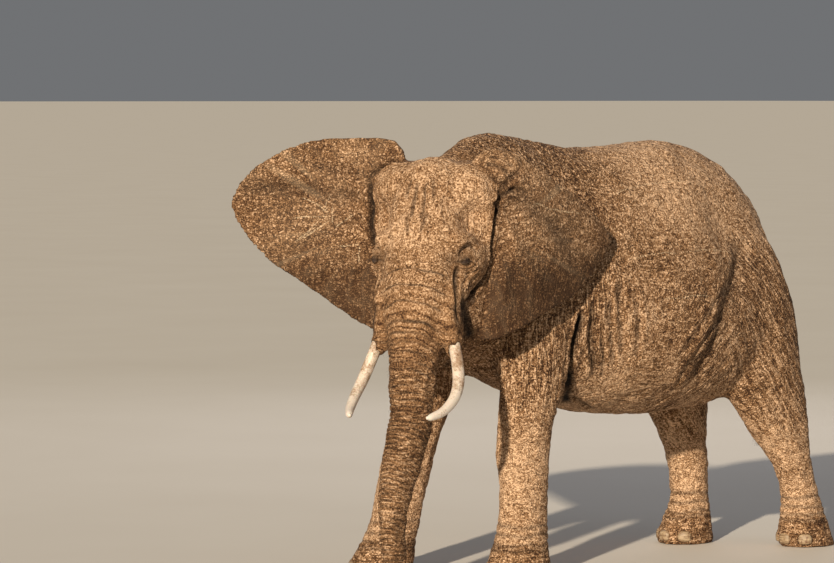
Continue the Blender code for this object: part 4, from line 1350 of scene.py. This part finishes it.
def growTuft(s):
    draw = np.random.default_rng(4)
    low, high = (np.array(v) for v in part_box("tail_tuft"))
    n = s["tuftStrands"]
    centre = (low + high) / 2
    # hairs stand in a row before and behind the tail's end, and all round its tip
    z = high[2] + draw.uniform(-0.01, 0.15, n) * (draw.random(n) < 0.75)
    turn = np.where(draw.random(n) < 0.8,
                    draw.choice((-pi / 2, pi / 2), n) + draw.normal(0, 0.4, n),
                    draw.uniform(0, 2 * pi, n))
    flat = np.stack([np.cos(turn), np.sin(turn), np.zeros(n)], 1)
    roots = np.stack([np.full(n, centre[0]), np.full(n, centre[1]), z], 1) + flat * 0.010
    ways = unit(flat * draw.uniform(0.05, 0.35, (n, 1)) + (0, 0, -1))
    bends = flat * draw.uniform(-0.15, 0.10, (n, 1)) + draw.normal(0, 0.05, (n, 3))
    bends = unit(bends + (0, 0, -1))
    lengths = np.minimum(draw.uniform(*s["tuftLength"], n), z - low[2] + 0.004)
    growStrands("tail_hair", roots, ways, bends, lengths, draw.uniform(*s["tuftRadius"], n), 5,
                "tail_tuft")


def growLashes(s):
    draw = np.random.default_rng(8)
    roots, ways, bends, lengths = [], [], [], []
    for side, centre in ((1, eyeLeft), (-1, eyeRight)):
        out, ahead, top = eyeAxes(side)
        for t in np.linspace(-1, 1, s["lashes"]):
            x, y = t * eyeSet["slit"] * 0.95, eyeSet["upper"] * (1 - t * t) + 0.002
            z = sqrt(max(eyeSet["radius"] ** 2 - x * x - y * y, 1e-6)) + 0.003
            roots.append(centre + ahead * x + top * y + out * z)
            ways.append(unit(out + ahead * t * 0.5 + top * 0.15 + draw.normal(0, 0.08, 3)))
            bends.append(unit(out * 0.5 + ahead * t * 0.6 + np.array((0, 0, -1.0))
                              + draw.normal(0, 0.08, 3)))
            lengths.append(draw.uniform(*s["lashLength"]))
    growStrands("lashes", *map(np.array, (roots, ways, bends, lengths)),
                np.full(len(roots), s["lashRadius"]), 4)


def growBristles(s):
    draw = np.random.default_rng(12)
    f, _, up = toHead(hide.points)
    chance = (0.5 * hide.zone["head"] * (up > 0.25) + 0.5 * hide.trunkness
              + 2.2 * hide.zone["head"] * (up < -0.36) * (f < -0.1)
              + 0.06 * hide.zone["torso"] * (hide.points[:, 2] > 2.1))
    spots = draw.choice(len(chance), s["bristles"], replace=False, p=chance / chance.sum())
    n, roots, normals = len(spots), hide.points[spots], hide.normals[spots]
    onChin = (up[spots] < -0.36) & (f[spots] < -0.1)
    lengths = draw.uniform(*s["bristleLength"], n) * (1 + 0.9 * onChin)
    ways = unit(normals + draw.normal(0, 0.25, (n, 3)))
    bends = unit(normals * 0.5 + draw.normal(0, 0.2, (n, 3)) + (0, 0, -0.8))
    growStrands("bristles", roots - normals * 0.002, ways, bends, lengths,
                np.full(n, s["bristleRadius"]), 2)


growTuft(hairSet)
growLashes(hairSet)
growBristles(hairSet)
print("hair grown")


# colours from the pupil outwards, and where each change of colour starts and ends, in metres
eyeLook = {
    "pupil": "#050403", "iris": "#6b3f1c", "irisEdge": "#2a170b", "white": "#3d2c22",
    "pupilEnd": (0.0036, 0.0044), "irisDarkens": (0.0048, 0.0088), "irisEnd": (0.0098, 0.0112),
}


def wetCornea(look):
    # a living eye's wet cornea over the iris: clear, smooth and very glossy
    material, tree, shader = newMaterial("eyeWetCornea", {
        "Roughness": 0.08, "IOR": 1.38, "Coat Weight": 1.0, "Coat Roughness": 0.03})
    off = place(tree, "Attribute", attribute_name="fromPupil", out=2)
    spot = place(tree, "TexCoord", out="Object")
    rays = place(tree, "TexNoise", {"Vector": spot, "Scale": 420.0, "Detail": 2.0})
    spans = (("irisDarkens", 0.0), ("irisEnd", 0.0), ("pupilEnd", 1.0))
    ring, rim, hole = (place(tree, "MapRange", {0: off, 1: look[key][0], 2: look[key][1],
                                                3: start, 4: 1.0 - start})
                       for key, start in spans)
    ring = place(tree, "Math", {0: rays, 1: 0.5, 2: ring}, operation="MULTIPLY_ADD")
    tone = linear(look["iris"])
    for amount, colour in ((ring, "irisEdge"), (rim, "white"), (hole, "pupil")):
        tone = place(tree, "Mix", {0: amount, 6: tone, 7: linear(look[colour])},
                     out=2, data_type="RGBA")
    tree.links.new(tone, shader.inputs["Base Color"])
    return material


def makeEye(name, centre, out, material, s):
    radius, rings, sides = s["radius"], s["rings"], s["sides"]
    side = unit(np.cross(out, (0, 0, 1)))
    top = np.cross(side, out)
    points, off = [], []
    for i in range(rings + 1):
        polar = pi * i / rings
        swell = max(0.0, 1 - (radius * sin(polar) / s["corneaRadius"]) ** 2) * (polar < pi / 2)
        swell *= s["corneaSwell"]
        for j in range(sides):
            turn = 2 * pi * j / sides
            points.append(centre + (radius + swell) * (
                out * cos(polar) + sin(polar) * (side * cos(turn) + top * sin(turn))))
            off.append(radius * polar)
    mesh = newMesh(name, points, ringQuads(rings + 1, sides))
    writeField(mesh, "fromPupil", np.array(off))
    addPiece(name, mesh, material, "eye", name.replace("ball", ""))


cornea = wetCornea(eyeLook)
makeEye("eyeball_left", eyeLeft, gaze[1], cornea, eyeSet)
makeEye("eyeball_right", eyeRight, gaze[-1], cornea, eyeSet)
print("eyes set")


# points round the tusk, metres between its rings, and flutes: how many, how deep, how they twist
tuskSet = {"sides": 40, "step": 0.006, "flutes": ((5, 0.012, 0.05), (11, 0.008, 0.11))}
tuskLook = {"ivory": "#d3c2ae", "tip": "#e4d8ca", "stain": "#8d6a47", "dirt": "#5d4430"}


def wornIvory(look):
    # grown ivory, worn and stained: smooth cream with brown flecks, cleaner and whiter at the tip
    material, tree, shader = newMaterial("tuskIvoryWorn", {
        "Roughness": 0.42, "IOR": 1.54, "Subsurface Weight": 0.06, "Subsurface Scale": 0.01})
    spot = place(tree, "TexCoord", out="Object")
    along = place(tree, "Attribute", attribute_name="along", out=2)
    fleck = place(tree, "TexNoise", {"Vector": spot, "Scale": 105.0, "Detail": 4.0,
                                     "Roughness": 0.7})
    patch = place(tree, "TexNoise", {"Vector": spot, "Scale": 16.0, "Detail": 3.0})
    tone = place(tree, "Mix", {0: along, 6: linear(look["ivory"]), 7: linear(look["tip"])},
                 out=2, data_type="RGBA")
    root = place(tree, "MapRange", {0: along, 1: 0.15, 2: 1.0, 3: 0.12, 4: -0.10})
    amount = place(tree, "Math", {0: patch, 1: 0.5, 2: root}, operation="MULTIPLY_ADD")
    amount = place(tree, "Math", {0: fleck, 1: 0.5, 2: amount}, operation="MULTIPLY_ADD")
    for colour, start, end, most in (("stain", 0.50, 0.64, 0.85), ("dirt", 0.66, 0.74, 1.0)):
        cover = place(tree, "MapRange", {0: amount, 1: start, 2: end, 3: 0.0, 4: most})
        tone = place(tree, "Mix", {0: cover, 6: tone, 7: linear(look[colour])},
                     out=2, data_type="RGBA")
    tree.links.new(tone, shader.inputs["Base Color"])
    rough = place(tree, "MapRange", {0: amount, 1: 0.45, 2: 0.7, 3: 0.34, 4: 0.7})
    tree.links.new(rough, shader.inputs["Roughness"])
    streak = place(tree, "TexNoise", {"Vector": spot, "Scale": 120.0, "Detail": 3.0})
    bump = place(tree, "Bump", {"Strength": 1.0, "Distance": 0.0015, "Height": streak})
    tree.links.new(bump, shader.inputs["Normal"])
    return material


def makeTusk(name, side, s, material):
    rows = flowing([(*fromHead(f, l * side, up), r) for f, l, up, r in tuskPath], s["step"])
    points, along, count = [], [], s["sides"]
    across = unit(np.cross(rows[1, :3] - rows[0, :3], (0, 0, 1)))
    for i, row in enumerate(rows):
        ahead = unit(rows[min(i + 1, len(rows) - 1), :3] - rows[max(i - 1, 0), :3])
        across = unit(across - ahead * (across @ ahead))
        up = np.cross(ahead, across)
        for j in range(count):
            turn = 2 * pi * j / count
            flute = 1 + sum(deep * sin(many * turn + i * twist)
                            for many, deep, twist in s["flutes"])
            points.append(row[:3] + row[3] * flute * (across * cos(turn) + up * sin(turn)))
            along.append(i / len(rows))
    # a rounded tip, closed by shrinking rings
    tip, ahead, r = rows[-1, :3], unit(rows[-1, :3] - rows[-2, :3]), rows[-1, 3]
    for k in (1, 2, 3):
        bend = pi / 2 * k / 3.4
        for j in range(count):
            turn = 2 * pi * j / count
            points.append(tip + ahead * r * 0.7 * sin(bend) + r * cos(bend) * (
                across * cos(turn) + np.cross(ahead, across) * sin(turn)))
            along.append(1.0)
    rings = len(points) // count
    faces = [(a, d, c, b) for a, b, c, d in ringQuads(rings, count)]
    faces += [tuple(range(count))[::-1], tuple(range((rings - 1) * count, rings * count))]
    mesh = newMesh(name, points, faces)
    writeField(mesh, "along", np.array(along))
    addPiece(name, mesh, material, "ivory", name.replace("ivory", "tusk"))


ivory = wornIvory(tuskLook)
makeTusk("ivory_left", 1, tuskSet, ivory)
makeTusk("ivory_right", -1, tuskSet, ivory)
print("tusks made")
